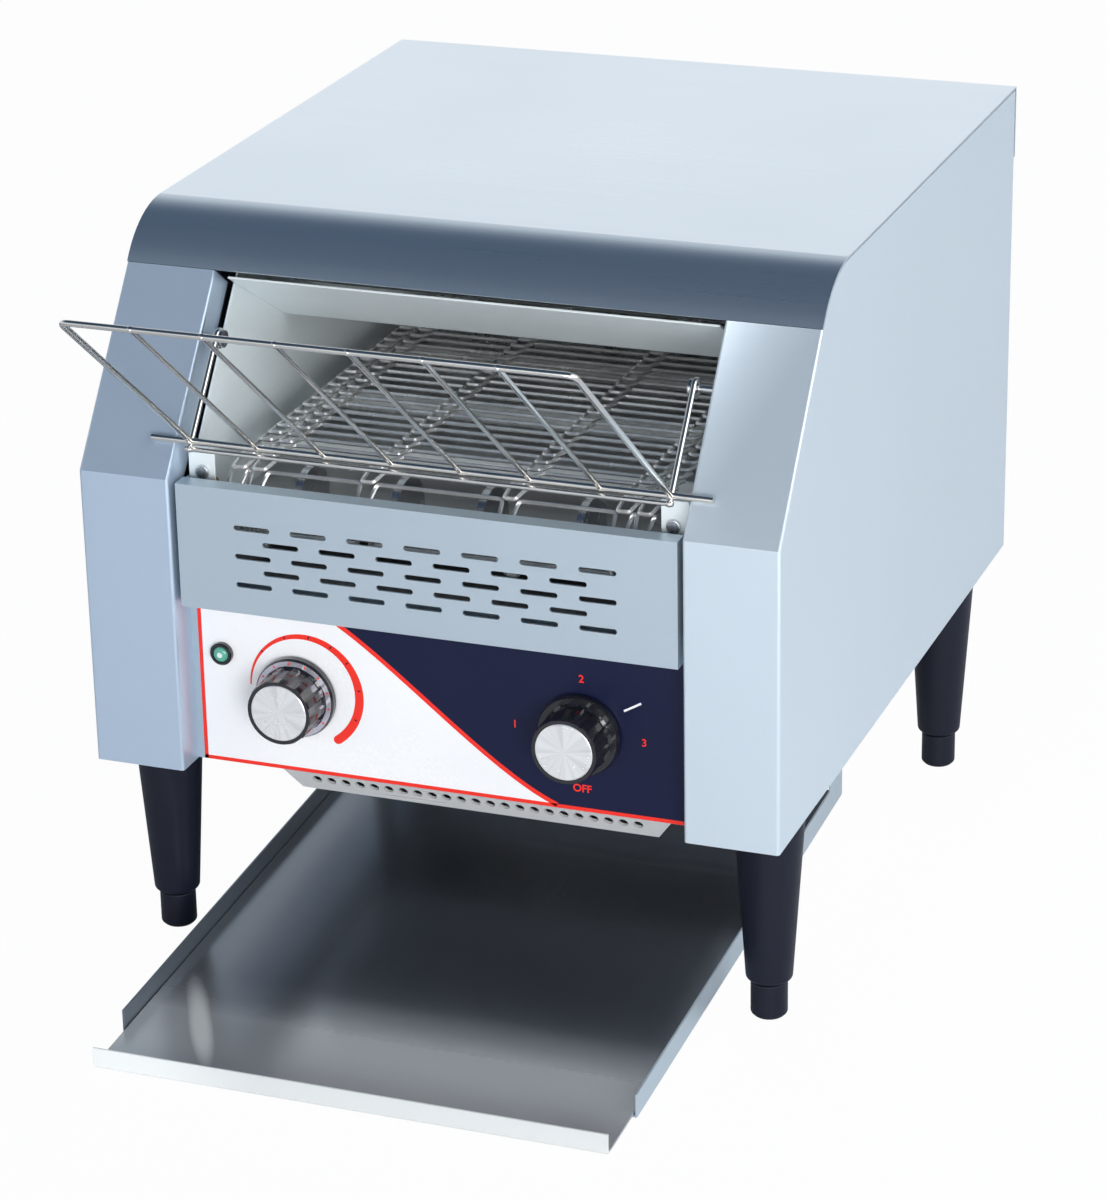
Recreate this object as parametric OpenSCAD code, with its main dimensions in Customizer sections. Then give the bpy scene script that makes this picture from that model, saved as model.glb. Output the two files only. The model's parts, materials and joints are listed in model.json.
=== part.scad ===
// Conveyor toaster: a sheet-steel casing on four plastic legs, a chain-driven
// wire belt between quartz heaters, a hinged wire feed rack in front and a
// sliding tray underneath. Bread goes in at the front, rides to the back,
// falls on a chute and comes out on the tray.
// Millimetres. X runs to the right, Y to the back, Z up from the counter.

/* [Casing] */
// Width over the side panels
case_w = 368; // [350:1:390]
// Depth from the front posts to the rear edge of the side panels
case_d = 434; // [425:1:460]
// Height of the top sheet above the counter
case_top = 384; // [378:1:392]
// Height of the casing's lower edge above the counter
case_floor = 112; // [108:1:118]
// Height at which the front posts bend back
kink_z = 271; // [264:1:276]
// Height of the brow, from its seam with the posts to the top sheet
brow_h = 24; // [20:1:29]
// Depth of that seam behind the posts' front
seam_y = 67; // [60:1:74]
// Depth at which the brow's curve runs into the flat top
brow_y = 110; // [104:1:118]
// Thickness of the casing sheet
sheet = 1.2; // [0.8:0.1:1.5]
// Visible gap between neighbouring casing sheets
seam_gap = 0.4; // [0.3:0.1:0.6]
// Width of each front post
post_w = 49; // [46:1:52]
// Depth of the flange that turns back from a post's inner edge
post_return = 18; // [16:1:20]
// Width of the flange under each side panel
foot_flange = 34; // [30:1:38]
// Width of the flange behind each side panel
rear_flange = 16; // [12:1:20]
// Height of the top sheet's flange over the rear panel
cover_flange = 40; // [30:1:48]

/* [Base and underside] */
// Thickness of the base plate
base_t = 1.5; // [1.2:0.1:2]
// Distance of the toast opening's ends inside the liners
exit_side = 5; // [4:1:11]
// Front edge of the toast opening
exit_y = 212; // [210:1:216]
// Rear edge of the toast opening
exit_back = 304; // [300:1:312]
// Distance of the perforated pan's ends inside the liners
pan_side = 7; // [5:1:13]
// Front edge of the pan at its rim
pan_y = 50; // [46:1:54]
// Rear edge of the pan at its rim
pan_back = 203; // [198:1:204]
// Depth of the pan below the casing
pan_deep = 33; // [28:1:36]
// How far the pan's ends lean in
pan_lean_x = 25; // [20:1:28]
// How far the pan's front and back lean in
pan_lean_y = 17; // [12:1:20]
// Radius of the pan's holes
pan_hole_r = 2.6; // [2:0.1:3]
// Pitch of the pan's holes
pan_pitch = 8.1; // [7:0.1:10]

/* [Vent panel] */
// Clearance between the vent panel and each post
vent_gap = 3; // [2:0.5:4]
// Lower edge of the vent panel
vent_z = 203; // [200:1:206]
// Upper edge of the vent panel
vent_top = 269; // [262:1:270]
// How far the vent panel's face stands behind the posts' front
vent_y = 2; // [1:0.5:4]
// Length of a vent slot
slot_l = 19.5; // [16:0.5:22]
// Height of a vent slot
slot_h = 2.8; // [2:0.1:3]
// Distance between slots in a row
slot_pitch = 30.4; // [29:0.2:32]
// Distance between rows
slot_row = 7.6; // [7:0.1:8]
// Slots in the longest row
slot_count = 7; // [5:1:7]
// Rows of slots
slot_rows = 5; // [3:1:5]
// First row below the panel's upper edge
slot_first = 20; // [16:1:21]

/* [Control panel] */
// Upper edge of the control panel's plate
panel_top = 214; // [212:1:216]
// How far the plate reaches behind each post's inner edge
panel_lap = 10; // [6:1:12]
// Clearance between the printed overlay and each post
overlay_gap = 4; // [2:1:7]
// Thickness of the printed overlay
overlay_t = 0.4; // [0.3:0.1:0.6]
// Height of the knob spindles above the casing's lower edge
knob_up = 43; // [38:0.5:46]
// Distance of the speed knob from the overlay's left end
speed_in = 54; // [47:0.5:59]
// Distance of the mode knob from the overlay's right end
mode_in = 55.5; // [51:0.5:63]
// Radius of a knob's skirt
skirt_r = 21.5; // [18:0.5:22]
// Height of a knob's skirt
skirt_h = 5; // [4:0.5:6]
// Radius of a knob's grip
grip_r = 17.5; // [15:0.5:18]
// Whole height of a knob
knob_h = 24; // [18:0.5:25]
// Radius of the metal cap on a knob
cap_r = 15; // [13:0.5:16]
// Radius of a knob spindle
spindle_r = 3; // [3:0.1:3.2]
// Distance of the pilot lamp from the overlay's left end
lamp_in = 13; // [10:0.5:16]
// Height of the pilot lamp above the casing's lower edge
lamp_up = 61; // [56:1:68]
// Outer radius of the pilot lamp's ring
lamp_r = 6; // [5.5:0.1:6.5]

/* [Belt and drive] */
// Teeth of each belt sprocket, which is also the wires round a shaft
belt_teeth = 12; // [12:2:14]
// Distance between the belt's wires
belt_pitch = 11; // [10.5:0.1:11]
// Wires in the straight runs
belt_run = 28; // [26:1:28]
// Free space between the belt and each liner
belt_side = 18; // [16:1:23]
// Radius of a belt wire
wire_r = 1.25; // [1:0.05:1.4]
// Depth of the drive shaft behind the posts' front
drive_y = 38; // [37:0.5:40]
// Height of both shafts
shaft_z = 252; // [250:1:254]
// Radius of both shafts
shaft_r = 5; // [4:0.5:6]
// Radial running clearance of shafts in their bushes
run_gap = 0.05; // [0.02:0.01:0.09]
// Distance of the liners' inner faces inside the posts' inner edges
liner_gap = 4; // [3:1:5]
// Depth of the motor's shaft
motor_y = 120; // [116:1:126]
// Height of the motor's shaft
motor_z = 165; // [160:1:168]
// Radius of the gear motor
motor_r = 30; // [26:1:32]
// Length of the gear motor
motor_l = 56; // [50:1:60]
// Teeth of the chain sprocket on the drive shaft
big_teeth = 20; // [18:1:22]
// Teeth of the chain sprocket on the motor
small_teeth = 12; // [11:1:14]
// Pitch of the drive chain
chain_pitch = 6.35; // [6.35]

/* [Heating] */
// Radius of a quartz tube
tube_r = 5.5; // [5:0.25:6]
// Distance of the upper tubes' axes below the upper reflector
upper_drop = 19; // [16:1:21]
// Depth of the first upper tube
upper_y = 185; // [180:1:190]
// Depth of the first lower tube
lower_y = 110; // [100:1:116]
// Distance between tubes
tube_pitch = 80; // [70:1:84]
// Distance of the front deflector's lower edge below the brow's seam
deflector_drop = 45.4; // [42:0.2:48]
// Depth of the front deflector's lower edge
deflector_y = 140; // [134:1:146]
// Distance of the upper reflector below the top sheet
reflector_drop = 39; // [37:1:44]

/* [Legs] */
// Distance of the legs' axes from the casing's sides
leg_side = 19; // [18.5:0.5:21]
// Depth of the front legs
leg_front = 45; // [42:1:50]
// Depth of the rear legs
leg_rear = 368; // [360:1:374]
// Radius of a leg under the casing
leg_top_r = 18; // [16:0.5:18.5]
// Radius of a leg at its lower end
leg_low_r = 12; // [11:0.5:13]
// Height of a leg's lower end above the counter
leg_low_z = 20; // [18:1:24]
// Radius of an adjustable foot
foot_r = 9.5; // [8:0.5:10.5]
// Radius of a foot's threaded stem
stem_r = 5; // [4:0.5:6]
// Travel of a foot
foot_travel = 15; // [10:1:18]

/* [Tray] */
// Slope of the tray and its guides in degrees
tray_slope = 3.2; // [2.6:0.1:3.4]
// Depth of the tray's lip, in front of the posts
tray_front = -117; // [-120:1:-110]
// Depth of the tray's rear edge
tray_back = 264; // [258:1:266]
// Height of the tray's lip
lip_h = 11; // [9:0.5:13]
// Height of the lip's lower edge above the counter
lip_z = 0.8; // [0.5:0.1:1.2]
// Distance of the tray's edges from the tops of the legs
tray_side = 11.1; // [10.5:0.1:17]
// Sheet thickness of the tray and its guides
tray_t = 1.2; // [1:0.1:1.4]
// Depth of the guides' front ends
guide_front = -80; // [-90:1:-70]
// Height of the guides' walls
guide_h = 12.6; // [10:0.2:14]
// Width of the guides' floor flange
guide_floor = 12; // [9:1:14]
// Length of the hangers that carry the guides
hanger_l = 22; // [18:1:26]
// Clearance between the tray and its guides
tray_gap = 0.5; // [0.3:0.1:0.8]

/* [Feed rack] */
// Radius of the rack's frame wire
frame_r = 1.8; // [1.6:0.1:2.5]
// Radius of the rack's side wires and arms
arm_r = 1.5; // [1.4:0.1:2.1]
// Radius of the rack's cross wires
cross_r = 1.3; // [1.2:0.1:1.8]
// Number of wires up the rack, sides included
rack_wires = 8; // [6:1:10]
// Distance of the rack's side wires from the posts' inner edges
rack_side = 9; // [8:1:13]
// How far the rod that rests on the posts reaches over each
rest_lap = 12.4; // [9:0.2:17]
// Place of that rod up the posts' slanted face
rest_s = 20.8; // [16:0.2:26]
// Distance of the second rod below it
second_rod = 4; // [3.5:0.5:11]
// Length of the rack's wing
wing_l = 166; // [156:1:172]
// Rise of the wing in degrees
wing_rise = 38.5; // [36:0.5:42]
// Place of the hinge studs up the slanted face
hinge_s = 77; // [72:1:82]
// Depth of the hinge studs behind the slanted face
hinge_in = 3.4; // [3.2:0.1:4]
// Radius of a hinge stud
stud_r = 2; // [1.8:0.1:2.2]
// Clearance between a stud and the eye on it
eye_gap = 0.5; // [0.3:0.1:0.8]

/* [Hidden] */
$fn = 48;
// Standing clearance between pieces, and how far a cut runs past a face
fit = 0.3;
cut = 1;
half_w = case_w / 2;
post_in = half_w - post_w;
seam_z = case_top - brow_h;
liner_half = post_in - liner_gap;
belt_half = liner_half - belt_side;
exit_half = liner_half - exit_side;
pan_half = liner_half - pan_side;
overlay_half = post_in - overlay_gap;
knob_z = case_floor + knob_up;
speed_x = speed_in - overlay_half;
mode_x = overlay_half - mode_in;
lamp_x = lamp_in - overlay_half;
lamp_z = case_floor + lamp_up;
reflector_z = case_top - reflector_drop;
upper_z = reflector_z - upper_drop;
deflector_z = seam_z - deflector_drop;
leg_x = half_w - leg_side;
tray_half = leg_x - leg_top_r - tray_side;
rack_half = post_in - rack_side;
rest_half = post_in + rest_lap;

// Front outline of the posts, and places up their slanted face
slant = [seam_y, seam_z - kink_z];
slant_len = norm(slant);
slant_up = slant / slant_len;
slant_out = [-slant_up[1], slant_up[0]];
front_line = [[0, case_floor], [0, kink_z], [seam_y, seam_z]];
function on_slant(s, out) = [0, kink_z] + s * slant_up + out * slant_out;

// The brow is one arc through the seam, tangent to the flat top
brow_run = brow_y - seam_y;
brow_r = (brow_run * brow_run + brow_h * brow_h) / (2 * brow_h);
brow_c = [brow_y, case_top - brow_r];
brow_seam_angle = atan2(seam_z - brow_c[1], seam_y - brow_c[0]);

// Casing screws
screw_r = 2;
screw_head_r = 3.6;
screw_head_h = 2.2;

// Rear stack: side panel flange, rear panel, top sheet's flange
rear_plate_y = case_d;
cover_back = rear_plate_y + sheet + fit + sheet;
cover_under = case_top - sheet - seam_gap;

// Base stack
base_z = case_floor + sheet;
base_top = base_z + base_t;
base_front = post_return + sheet + fit;
base_back = case_d - sheet - fit;
base_half = half_w - sheet - fit;

// Belt geometry: wires stand at the corners of a polygon round each shaft
wire_step = 360 / belt_teeth;
belt_r = belt_pitch / (2 * sin(wire_step / 2));
idler_y = drive_y + belt_run * belt_pitch;
belt_top = shaft_z + belt_r;
belt_bottom = shaft_z - belt_r;
link_x = [-belt_half + 4, -belt_half / 3, belt_half / 3, belt_half - 4];
link_w = 3;
link_t = 1.6;
link_end = asin((wire_r + run_gap) / belt_r);
sprocket_x = [-0.66 * belt_half, -0.2 * belt_half, 0.2 * belt_half, 0.66 * belt_half];
sprocket_w = 4;
tip_r = belt_r - wire_r - fit;
notch_r = wire_r + 2 * fit;

// Liners and what crosses them
liner_out = liner_half + sheet;
bush_r = shaft_r + 3;
bush_flange_r = bush_r + 3;
bush_out = 6;
bush_in = 3;
shaft_end = liner_out + bush_out + 1;
big_r = chain_pitch / (2 * sin(180 / big_teeth));
small_r = chain_pitch / (2 * sin(180 / small_teeth));
chain_t = 3.3;
chain_w = 5;
chain_out = 16;
chain_x = liner_out + chain_out;
wheel_w = chain_w - 2;
wheel_x = chain_x + 1;
hub_l = 6;
hub_wall = 3;
tooth_gap = 0.8;
output_in = 12;
chain_from = [drive_y, shaft_z];
chain_to = [motor_y, motor_z];
chain_dist = norm(chain_to - chain_from);
chain_tilt = acos((big_r - small_r) / chain_dist);
chain_dir = atan2(chain_to[1] - chain_from[1], chain_to[0] - chain_from[0]);
output_r = 4;
tube_half = liner_out + 9;
holder_r = tube_r + 3.5;

// Electrics compartment
shield_z = panel_top + fit;
shield_back = pan_back + 2;
fan_size = 80;
fan_h = 25;
fan_bore_r = 38;
fan_hole_r = 37;
fan_x = -55;
fan_y = 130;
fan_post_r = 3;
fan_hub_r = 16;
fan_hub_h = 17;
fan_plate_h = 4;
fan_gap = 1;

// Legs
leg_h = case_floor - leg_low_z;
leg_chamfer = 2;
leg_stud_r = 4;
leg_stud_h = 8;
leg_places = [[-leg_x, leg_front], [leg_x, leg_front], [-leg_x, leg_rear], [leg_x, leg_rear]];
stem_hold = 14;
stem_l = foot_travel + stem_hold;

// Tray and guides
tray_rise = tan(tray_slope);
function tray_z(y) = lip_z + (y - tray_front) * tray_rise;
guide_drop = tray_t + fit;
guide_x = tray_half + tray_gap;
guide_back = tray_back + 2;
hanger_top_w = 12;

// Feed rack
rest_p = on_slant(rest_s, frame_r + fit);
second_p = on_slant(rest_s - second_rod, frame_r + fit);
hinge_p = on_slant(hinge_s, -hinge_in);
eye_r = stud_r + eye_gap + arm_r;
eye_w = 2 * arm_r - 0.6;
wing_up = [-cos(wing_rise), sin(wing_rise)];
wing_tip = rest_p + wing_l * wing_up;
eye_front = hinge_p + eye_r * slant_out;

// Chute: down the back, then forward through the base
chute_back = base_back - 8;
chute_bend = 215;
chute_low = [262, 88];
chute_base_y = exit_back - 8;
chute_half = exit_half - 2;
chute_knee = [chute_back, chute_bend];
chute_lean = (chute_back - chute_base_y) / (chute_bend - base_top);

// Cable gland under the base, behind the right rear leg
gland_x = leg_x - 1;
gland_behind = 33;
gland_y = leg_rear + gland_behind;
gland_bore_r = 4.5;
gland_r = 8;

// The origin is under the middle of the bounding box
front_reach = min(wing_tip[0] - frame_r, tray_front);
rear_reach = max(cover_back, rear_plate_y + sheet + screw_head_h);
mid_y = (front_reach + rear_reach) / 2;

steel = [0.74, 0.79, 0.84];
bright = [0.86, 0.88, 0.9];
dark = [0.1, 0.1, 0.14];
black = [0.07, 0.07, 0.09];

// Turns a corner line into a bent sheet of thickness t, to the left of its
// direction where t is positive
function unit(v) = v / norm(v);
function left_of(a, b) = [-unit(b - a)[1], unit(b - a)[0]];
function before(p, i) = left_of(p[max(i, 1) - 1], p[max(i, 1)]);
function after(p, i) = left_of(p[min(i, len(p) - 2)], p[min(i, len(p) - 2) + 1]);
function mitre(p, i, t) = p[i] + t * (before(p, i) + after(p, i)) / (1 + before(p, i) * after(p, i));
function strip(p, t) = concat(p, [for (i = [len(p) - 1:-1:0]) mitre(p, i, t)]);

// Extrudes a drawing of the Y-Z plane from x0 to x1
module side_on(x0, x1) {
    translate([x0, 0, 0]) rotate([90, 0, 90]) linear_extrude(x1 - x0) children();
}

// Extrudes a drawing of the X-Z plane from y0 to y1
module front_on(y0, y1) {
    translate([0, y1, 0]) rotate([90, 0, 0]) linear_extrude(y1 - y0) children();
}

module rod_x(x0, x1, p, r) {
    translate([x0, p[0], p[1]]) rotate([0, 90, 0]) cylinder(h = x1 - x0, r = r);
}

module rod_y(y0, y1, x, z, r) {
    translate([x, y1, z]) rotate([90, 0, 0]) cylinder(h = y1 - y0, r = r);
}

// A rod at one x between two points of the Y-Z plane
module rod_yz(x, a, b, r) {
    translate([x, a[0], a[1]]) rotate([atan2(b[1] - a[1], b[0] - a[0]) - 90, 0, 0])
        cylinder(h = norm(b - a), r = r);
}

module block(from, to) {
    translate(from) cube(to - from);
}

module mirrored_x() {
    children();
    mirror([1, 0, 0]) children();
}

module placed() {
    translate([0, -mid_y, 0]) children();
}

// ---- Casing ----

module side_outline() {
    inset = (sheet + seam_gap) * unit(brow_c - [seam_y, seam_z]);
    polygon([[0, case_floor], [0, kink_z], [seam_y, seam_z], [seam_y, seam_z] + inset,
        [brow_y, cover_under], [case_d, cover_under], [case_d, case_floor]]);
    translate(brow_c) circle(brow_r - sheet - seam_gap);
}

module side_panel() {
    difference() {
        union() {
            side_on(half_w - sheet, half_w) side_outline();
            side_on(post_in, half_w) polygon(strip(front_line, -sheet));
            side_on(post_in, post_in + sheet) polygon(strip(front_line, -post_return));
            block([half_w - rear_flange, case_d - sheet, case_floor], [half_w, case_d, cover_under]);
            block([half_w - foot_flange, 0, case_floor], [half_w, case_d, base_z]);
        }
        for (y = [leg_front, leg_rear]) translate([leg_x, y, case_floor - cut])
            cylinder(h = sheet + 2 * cut, r = leg_stud_r);
        rod_x(post_in - cut, post_in + sheet + cut, hinge_p, stud_r);
    }
}

module side_panel_left() {
    color(steel) placed() mirror([1, 0, 0]) side_panel();
}

// Its foot flange is notched around the cable gland
module side_panel_right() {
    color(steel) placed() difference() {
        side_panel();
        block([half_w - foot_flange - cut, gland_y - gland_r, case_floor - cut],
            [gland_x + gland_r, gland_y + gland_r, base_z + cut]);
    }
}

// Bent top sheet: brow arc, flat top and rear flange in one piece
module top_cover() {
    far = 2 * brow_r;
    lap = 0.5;
    start = brow_seam_angle - seam_gap / brow_r * 180 / PI;
    color(steel) placed() {
        side_on(-half_w, half_w) intersection() {
            translate(brow_c) difference() {
                circle(brow_r);
                circle(brow_r - sheet);
            }
            polygon([brow_c - [lap, 0], brow_c + far * [cos(start), sin(start)], brow_c + far * [-1, 1],
                brow_c + [-lap, far]]);
        }
        side_on(-half_w, half_w) polygon(strip([[brow_y - 2 * lap, case_top], [cover_back, case_top],
            [cover_back, case_top - cover_flange]], -sheet));
    }
}

module stadium(l, h) {
    square([l - h, h], center = true);
    for (s = [-1, 1]) translate([s * (l - h) / 2, 0]) circle(h / 2);
}

// Rear panel: its edges, cooling slots and screws
rear_half = half_w - 3;
rear_low = case_floor + 3;
rear_top = case_top - 6;
louvre_l = 70;
louvre_h = 4;
louvre_step = 12;
louvre_up = 30;
louvre_low = case_floor + louvre_up;
louvre_count = 7;
louvre_side = 86;
louvre_columns = [for (side = [-1:1]) side * (half_w - louvre_side)];
rear_screw_x = half_w - rear_flange / 2;
rear_screw_up = 14;
rear_screw_low = case_floor + rear_screw_up;
rear_screw_high = case_top - cover_flange - rear_screw_up;
rear_screw_z = [rear_screw_low, (rear_screw_low + rear_screw_high) / 2, rear_screw_high];

module rear_panel() {
    color(steel) placed() front_on(rear_plate_y, rear_plate_y + sheet) difference() {
        translate([-rear_half, rear_low]) square([2 * rear_half, rear_top - rear_low]);
        for (x = louvre_columns, i = [0:louvre_count - 1]) {
            translate([x, louvre_low + i * louvre_step]) stadium(louvre_l, louvre_h);
        }
        for (side = [-1, 1], z = rear_screw_z) translate([side * rear_screw_x, z]) circle(screw_r);
    }
}

module base_plate() {
    color(steel) placed() difference() {
        block([-base_half, base_front, base_z], [base_half, base_back, base_top]);
        block([-exit_half, exit_y, base_z - cut], [exit_half, exit_back, base_top + cut]);
        for (p = leg_places) translate([p[0], p[1], base_z - cut])
            cylinder(h = base_t + 2 * cut, r = leg_stud_r);
        translate([gland_x, gland_y, base_z - cut]) cylinder(h = base_t + 2 * cut, r = gland_r);
        translate([fan_x, fan_y, base_z - cut]) cylinder(h = base_t + 2 * cut, r = fan_hole_r);
    }
}

// A four-sided tub, drawn from its rim down
module tub(grow, z_top, z_low) {
    face = 0.01;
    hull() {
        block([-pan_half - grow, pan_y - grow, z_top - face], [pan_half + grow, pan_back + grow, z_top]);
        block([-pan_half + pan_lean_x - grow, pan_y + pan_lean_y - grow, z_low],
            [pan_half - pan_lean_x + grow, pan_back - pan_lean_y + grow, z_low + face]);
    }
}

// Pan: its rim, and the rows of holes in its front wall and its floor
pan_rim = 6;
pan_edge = 6;
pan_low = case_floor - pan_deep;
pan_front_lean = atan2(pan_lean_y, pan_deep);
pan_rows = 3;
pan_row_low = 8;
pan_row_step = 7;
pan_cols = floor((pan_half - pan_lean_x) / pan_pitch - 0.5);
pan_bottom_pitch = 1.5 * pan_pitch;
pan_bottom_y = pan_y + pan_lean_y + pan_edge;
pan_bottom_cols = floor((pan_half - pan_lean_x - pan_edge) / pan_bottom_pitch);
pan_bottom_rows = floor((pan_back - pan_y - 2 * (pan_lean_y + pan_edge)) / pan_bottom_pitch);

// Perforated tub under the electrics, where the fan draws its air
module underside_pan() {
    color(bright) placed() difference() {
        union() {
            tub(0, base_z, pan_low);
            block([-pan_half - pan_rim, pan_y - pan_rim, case_floor],
                [pan_half + pan_rim, pan_back + pan_rim, base_z]);
        }
        tub(-sheet, base_z + cut, pan_low + sheet);
        for (row = [0:pan_rows - 1], i = [-pan_cols:pan_cols]) {
            translate([(i + row % 2 / 2) * pan_pitch, pan_y + pan_lean_y, pan_low])
                rotate([pan_front_lean, 0, 0]) translate([0, 0, pan_row_low + row * pan_row_step])
                    rotate([90, 0, 0]) cylinder(h = 3 * sheet, r = pan_hole_r, center = true);
        }
        for (i = [-pan_bottom_cols:pan_bottom_cols], j = [0:pan_bottom_rows]) {
            translate([i * pan_bottom_pitch, pan_bottom_y + j * pan_bottom_pitch, pan_low - cut])
                cylinder(h = sheet + 2 * cut, r = pan_hole_r);
        }
    }
}

// ---- Front panels ----

vent_half = post_in - vent_gap;
vent_flange = 10;

module vent_slots() {
    for (row = [0:slot_rows - 1]) {
        count = slot_count - row % 2;
        for (i = [0:count - 1]) {
            translate([(i - (count - 1) / 2) * slot_pitch, vent_top - slot_first - row * slot_row])
                stadium(slot_l, slot_h);
        }
    }
}

module vent_panel() {
    color(steel) placed() {
        difference() {
            side_on(-vent_half, vent_half) polygon(strip([[vent_y + vent_flange, vent_top],
                [vent_y, vent_top], [vent_y, vent_z], [post_return, vent_z]], sheet));
            front_on(vent_y - cut, vent_y + sheet + cut) vent_slots();
        }
        mirrored_x() block([vent_half - sheet, vent_y, vent_z], [vent_half, post_return, vent_top - sheet]);
    }
}

panel_half = post_in + panel_lap;
panel_low = case_floor + 0.2;
panel_foot = 13;
lamp_body_r = lamp_r - 1.8;
bushing_r = spindle_r + 1.8;

module control_panel() {
    color(steel) placed() difference() {
        union() {
            front_on(post_return, post_return + sheet)
                translate([-panel_half, panel_low]) square([2 * panel_half, panel_top - panel_low]);
            block([-panel_half, post_return, panel_low], [panel_half, post_return + panel_foot, base_z]);
        }
        for (x = [speed_x, mode_x]) rod_y(post_return - cut, post_return + sheet + cut, x, knob_z, bushing_r);
        rod_y(post_return - cut, post_return + sheet + cut, lamp_x, lamp_z, lamp_body_r);
    }
}

overlay_low = case_floor + 0.6;
overlay_top = vent_z - 0.5;

module panel_overlay() {
    color([0.9, 0.9, 0.92]) placed() front_on(post_return - overlay_t, post_return) difference() {
        translate([-overlay_half, overlay_low]) square([2 * overlay_half, overlay_top - overlay_low]);
        for (x = [speed_x, mode_x]) translate([x, knob_z]) circle(bushing_r + 1);
        translate([lamp_x, lamp_z]) circle(lamp_body_r);
    }
}

// ---- Controls ----

// Knobs stand just off the overlay; spindles end inside the bodies behind it
knob_back = post_return - overlay_t - 0.5;
knob_face = knob_back - knob_h;
knob_recess = 2;
cap_t = 0.8;
cap_proud = 0.2;
spindle_tip = knob_face + 6;
spindle_reach = 20;
spindle_end = post_return + spindle_reach;
body_front = post_return + sheet;

module knob(x) {
    color(black) placed() difference() {
        union() {
            rod_y(knob_back - skirt_h, knob_back, x, knob_z, skirt_r);
            rod_y(knob_face, knob_back - skirt_h, x, knob_z, grip_r);
        }
        rod_y(knob_face - cut, knob_face + cap_t, x, knob_z, cap_r);
        rod_y(spindle_tip, knob_back + cut, x, knob_z, spindle_r);
        rod_y(knob_back - knob_recess, knob_back + cut, x, knob_z, bushing_r + knob_recess);
    }
}

module knob_cap(x) {
    color(bright) placed() rod_y(knob_face - cap_proud, knob_face + cap_t, x, knob_z, cap_r);
}

module spindle(x) {
    color(bright) placed() rod_y(spindle_tip, spindle_end, x, knob_z, spindle_r);
}

// Body behind the plate with a bushing that passes through it
module regulator_body(x, depth) {
    difference() {
        union() {
            children();
            rod_y(post_return - overlay_t, depth, x, knob_z, bushing_r);
        }
        rod_y(post_return - overlay_t - cut, spindle_end + fit, x, knob_z, spindle_r + run_gap);
    }
}

module speed_knob() {
    knob(speed_x);
}

module speed_knob_cap() {
    knob_cap(speed_x);
}

module speed_spindle() {
    spindle(speed_x);
}

module speed_regulator() {
    back = spindle_end + 2;
    can_r = 12;
    color(dark) placed() regulator_body(speed_x, back) rod_y(body_front, back, speed_x, knob_z, can_r);
}

module mode_knob() {
    knob(mode_x);
}

module mode_knob_cap() {
    knob_cap(mode_x);
}

module mode_spindle() {
    spindle(mode_x);
}

module mode_switch() {
    back = spindle_end + 10;
    half = 15;
    color(dark) placed() regulator_body(mode_x, back)
        block([mode_x - half, body_front, knob_z - half], [mode_x + half, back, knob_z + half]);
}

lamp_back = post_return - overlay_t;
lamp_flange = 3;
lamp_lens_r = lamp_body_r - 0.4;
lamp_lens_t = 3.6;
lamp_l = 22;

module pilot_lamp_ring() {
    color(black) placed() difference() {
        union() {
            rod_y(lamp_back - lamp_flange, lamp_back, lamp_x, lamp_z, lamp_r);
            rod_y(lamp_back - cut, post_return + lamp_l, lamp_x, lamp_z, lamp_body_r);
        }
        rod_y(lamp_back - lamp_flange - cut, lamp_back, lamp_x, lamp_z, lamp_lens_r);
    }
}

module pilot_lamp_lens() {
    color([0.1, 0.6, 0.3]) placed() rod_y(lamp_back - lamp_lens_t, lamp_back, lamp_x, lamp_z, lamp_lens_r);
}

// ---- Inside the casing ----

module electrics_shield() {
    color(steel) placed() side_on(-liner_half + fit, liner_half - fit)
        polygon(strip([[base_front, shield_z], [shield_back, shield_z], [shield_back, base_top]], -sheet));
}

liner_front = post_return + sheet + seam_gap;
liner_low = base_top;
liner_roof = cover_under - 4;

module liner_outline() {
    back_line = [for (i = [0:2]) mitre(front_line, i, -post_return - seam_gap)];
    polygon([[liner_front, liner_low], [liner_front, back_line[1][1]], back_line[1], back_line[2],
        [brow_y, liner_roof], [base_back, liner_roof], [base_back, liner_low]]);
}

ear_w = 13;
ear_z = 257;
ear_h = 26;
ear_screw_x = liner_half - ear_w / 2;
ear_screw_z = ear_z + ear_h / 2;
tube_hole_r = tube_r + 0.5;
motor_hole_r = output_r + 6;

// Inner wall; the ear at its front edge holds a screw
module liner() {
    difference() {
        union() {
            side_on(liner_half, liner_out) liner_outline();
            block([liner_half - ear_w, liner_front, ear_z], [liner_out, liner_front + sheet, ear_z + ear_h]);
        }
        for (y = [drive_y, idler_y]) rod_x(liner_half - cut, liner_out + cut, [y, shaft_z], bush_r);
        for (p = tube_places) rod_x(liner_half - cut, liner_out + cut, p, tube_hole_r);
        rod_y(liner_front - cut, liner_front + sheet + cut, ear_screw_x, ear_screw_z, screw_r);
    }
}

module liner_left() {
    color(steel) placed() mirror([1, 0, 0]) liner();
}

module liner_right() {
    color(steel) placed() difference() {
        liner();
        rod_x(liner_half - cut, liner_out + cut, [motor_y, motor_z], motor_hole_r);
    }
}

// Slants down from the brow's edge to a turned-up rim over the belt
module front_deflector() {
    top = [seam_y + 5, seam_z - 5.5];
    low = [deflector_y, deflector_z];
    rim = [7, 6];
    color(steel) placed() side_on(-liner_half + fit, liner_half - fit)
        polygon(strip([top, low, low + rim], sheet));
}

reflector_front = deflector_y + 12;
reflector_lip = 16;

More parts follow.
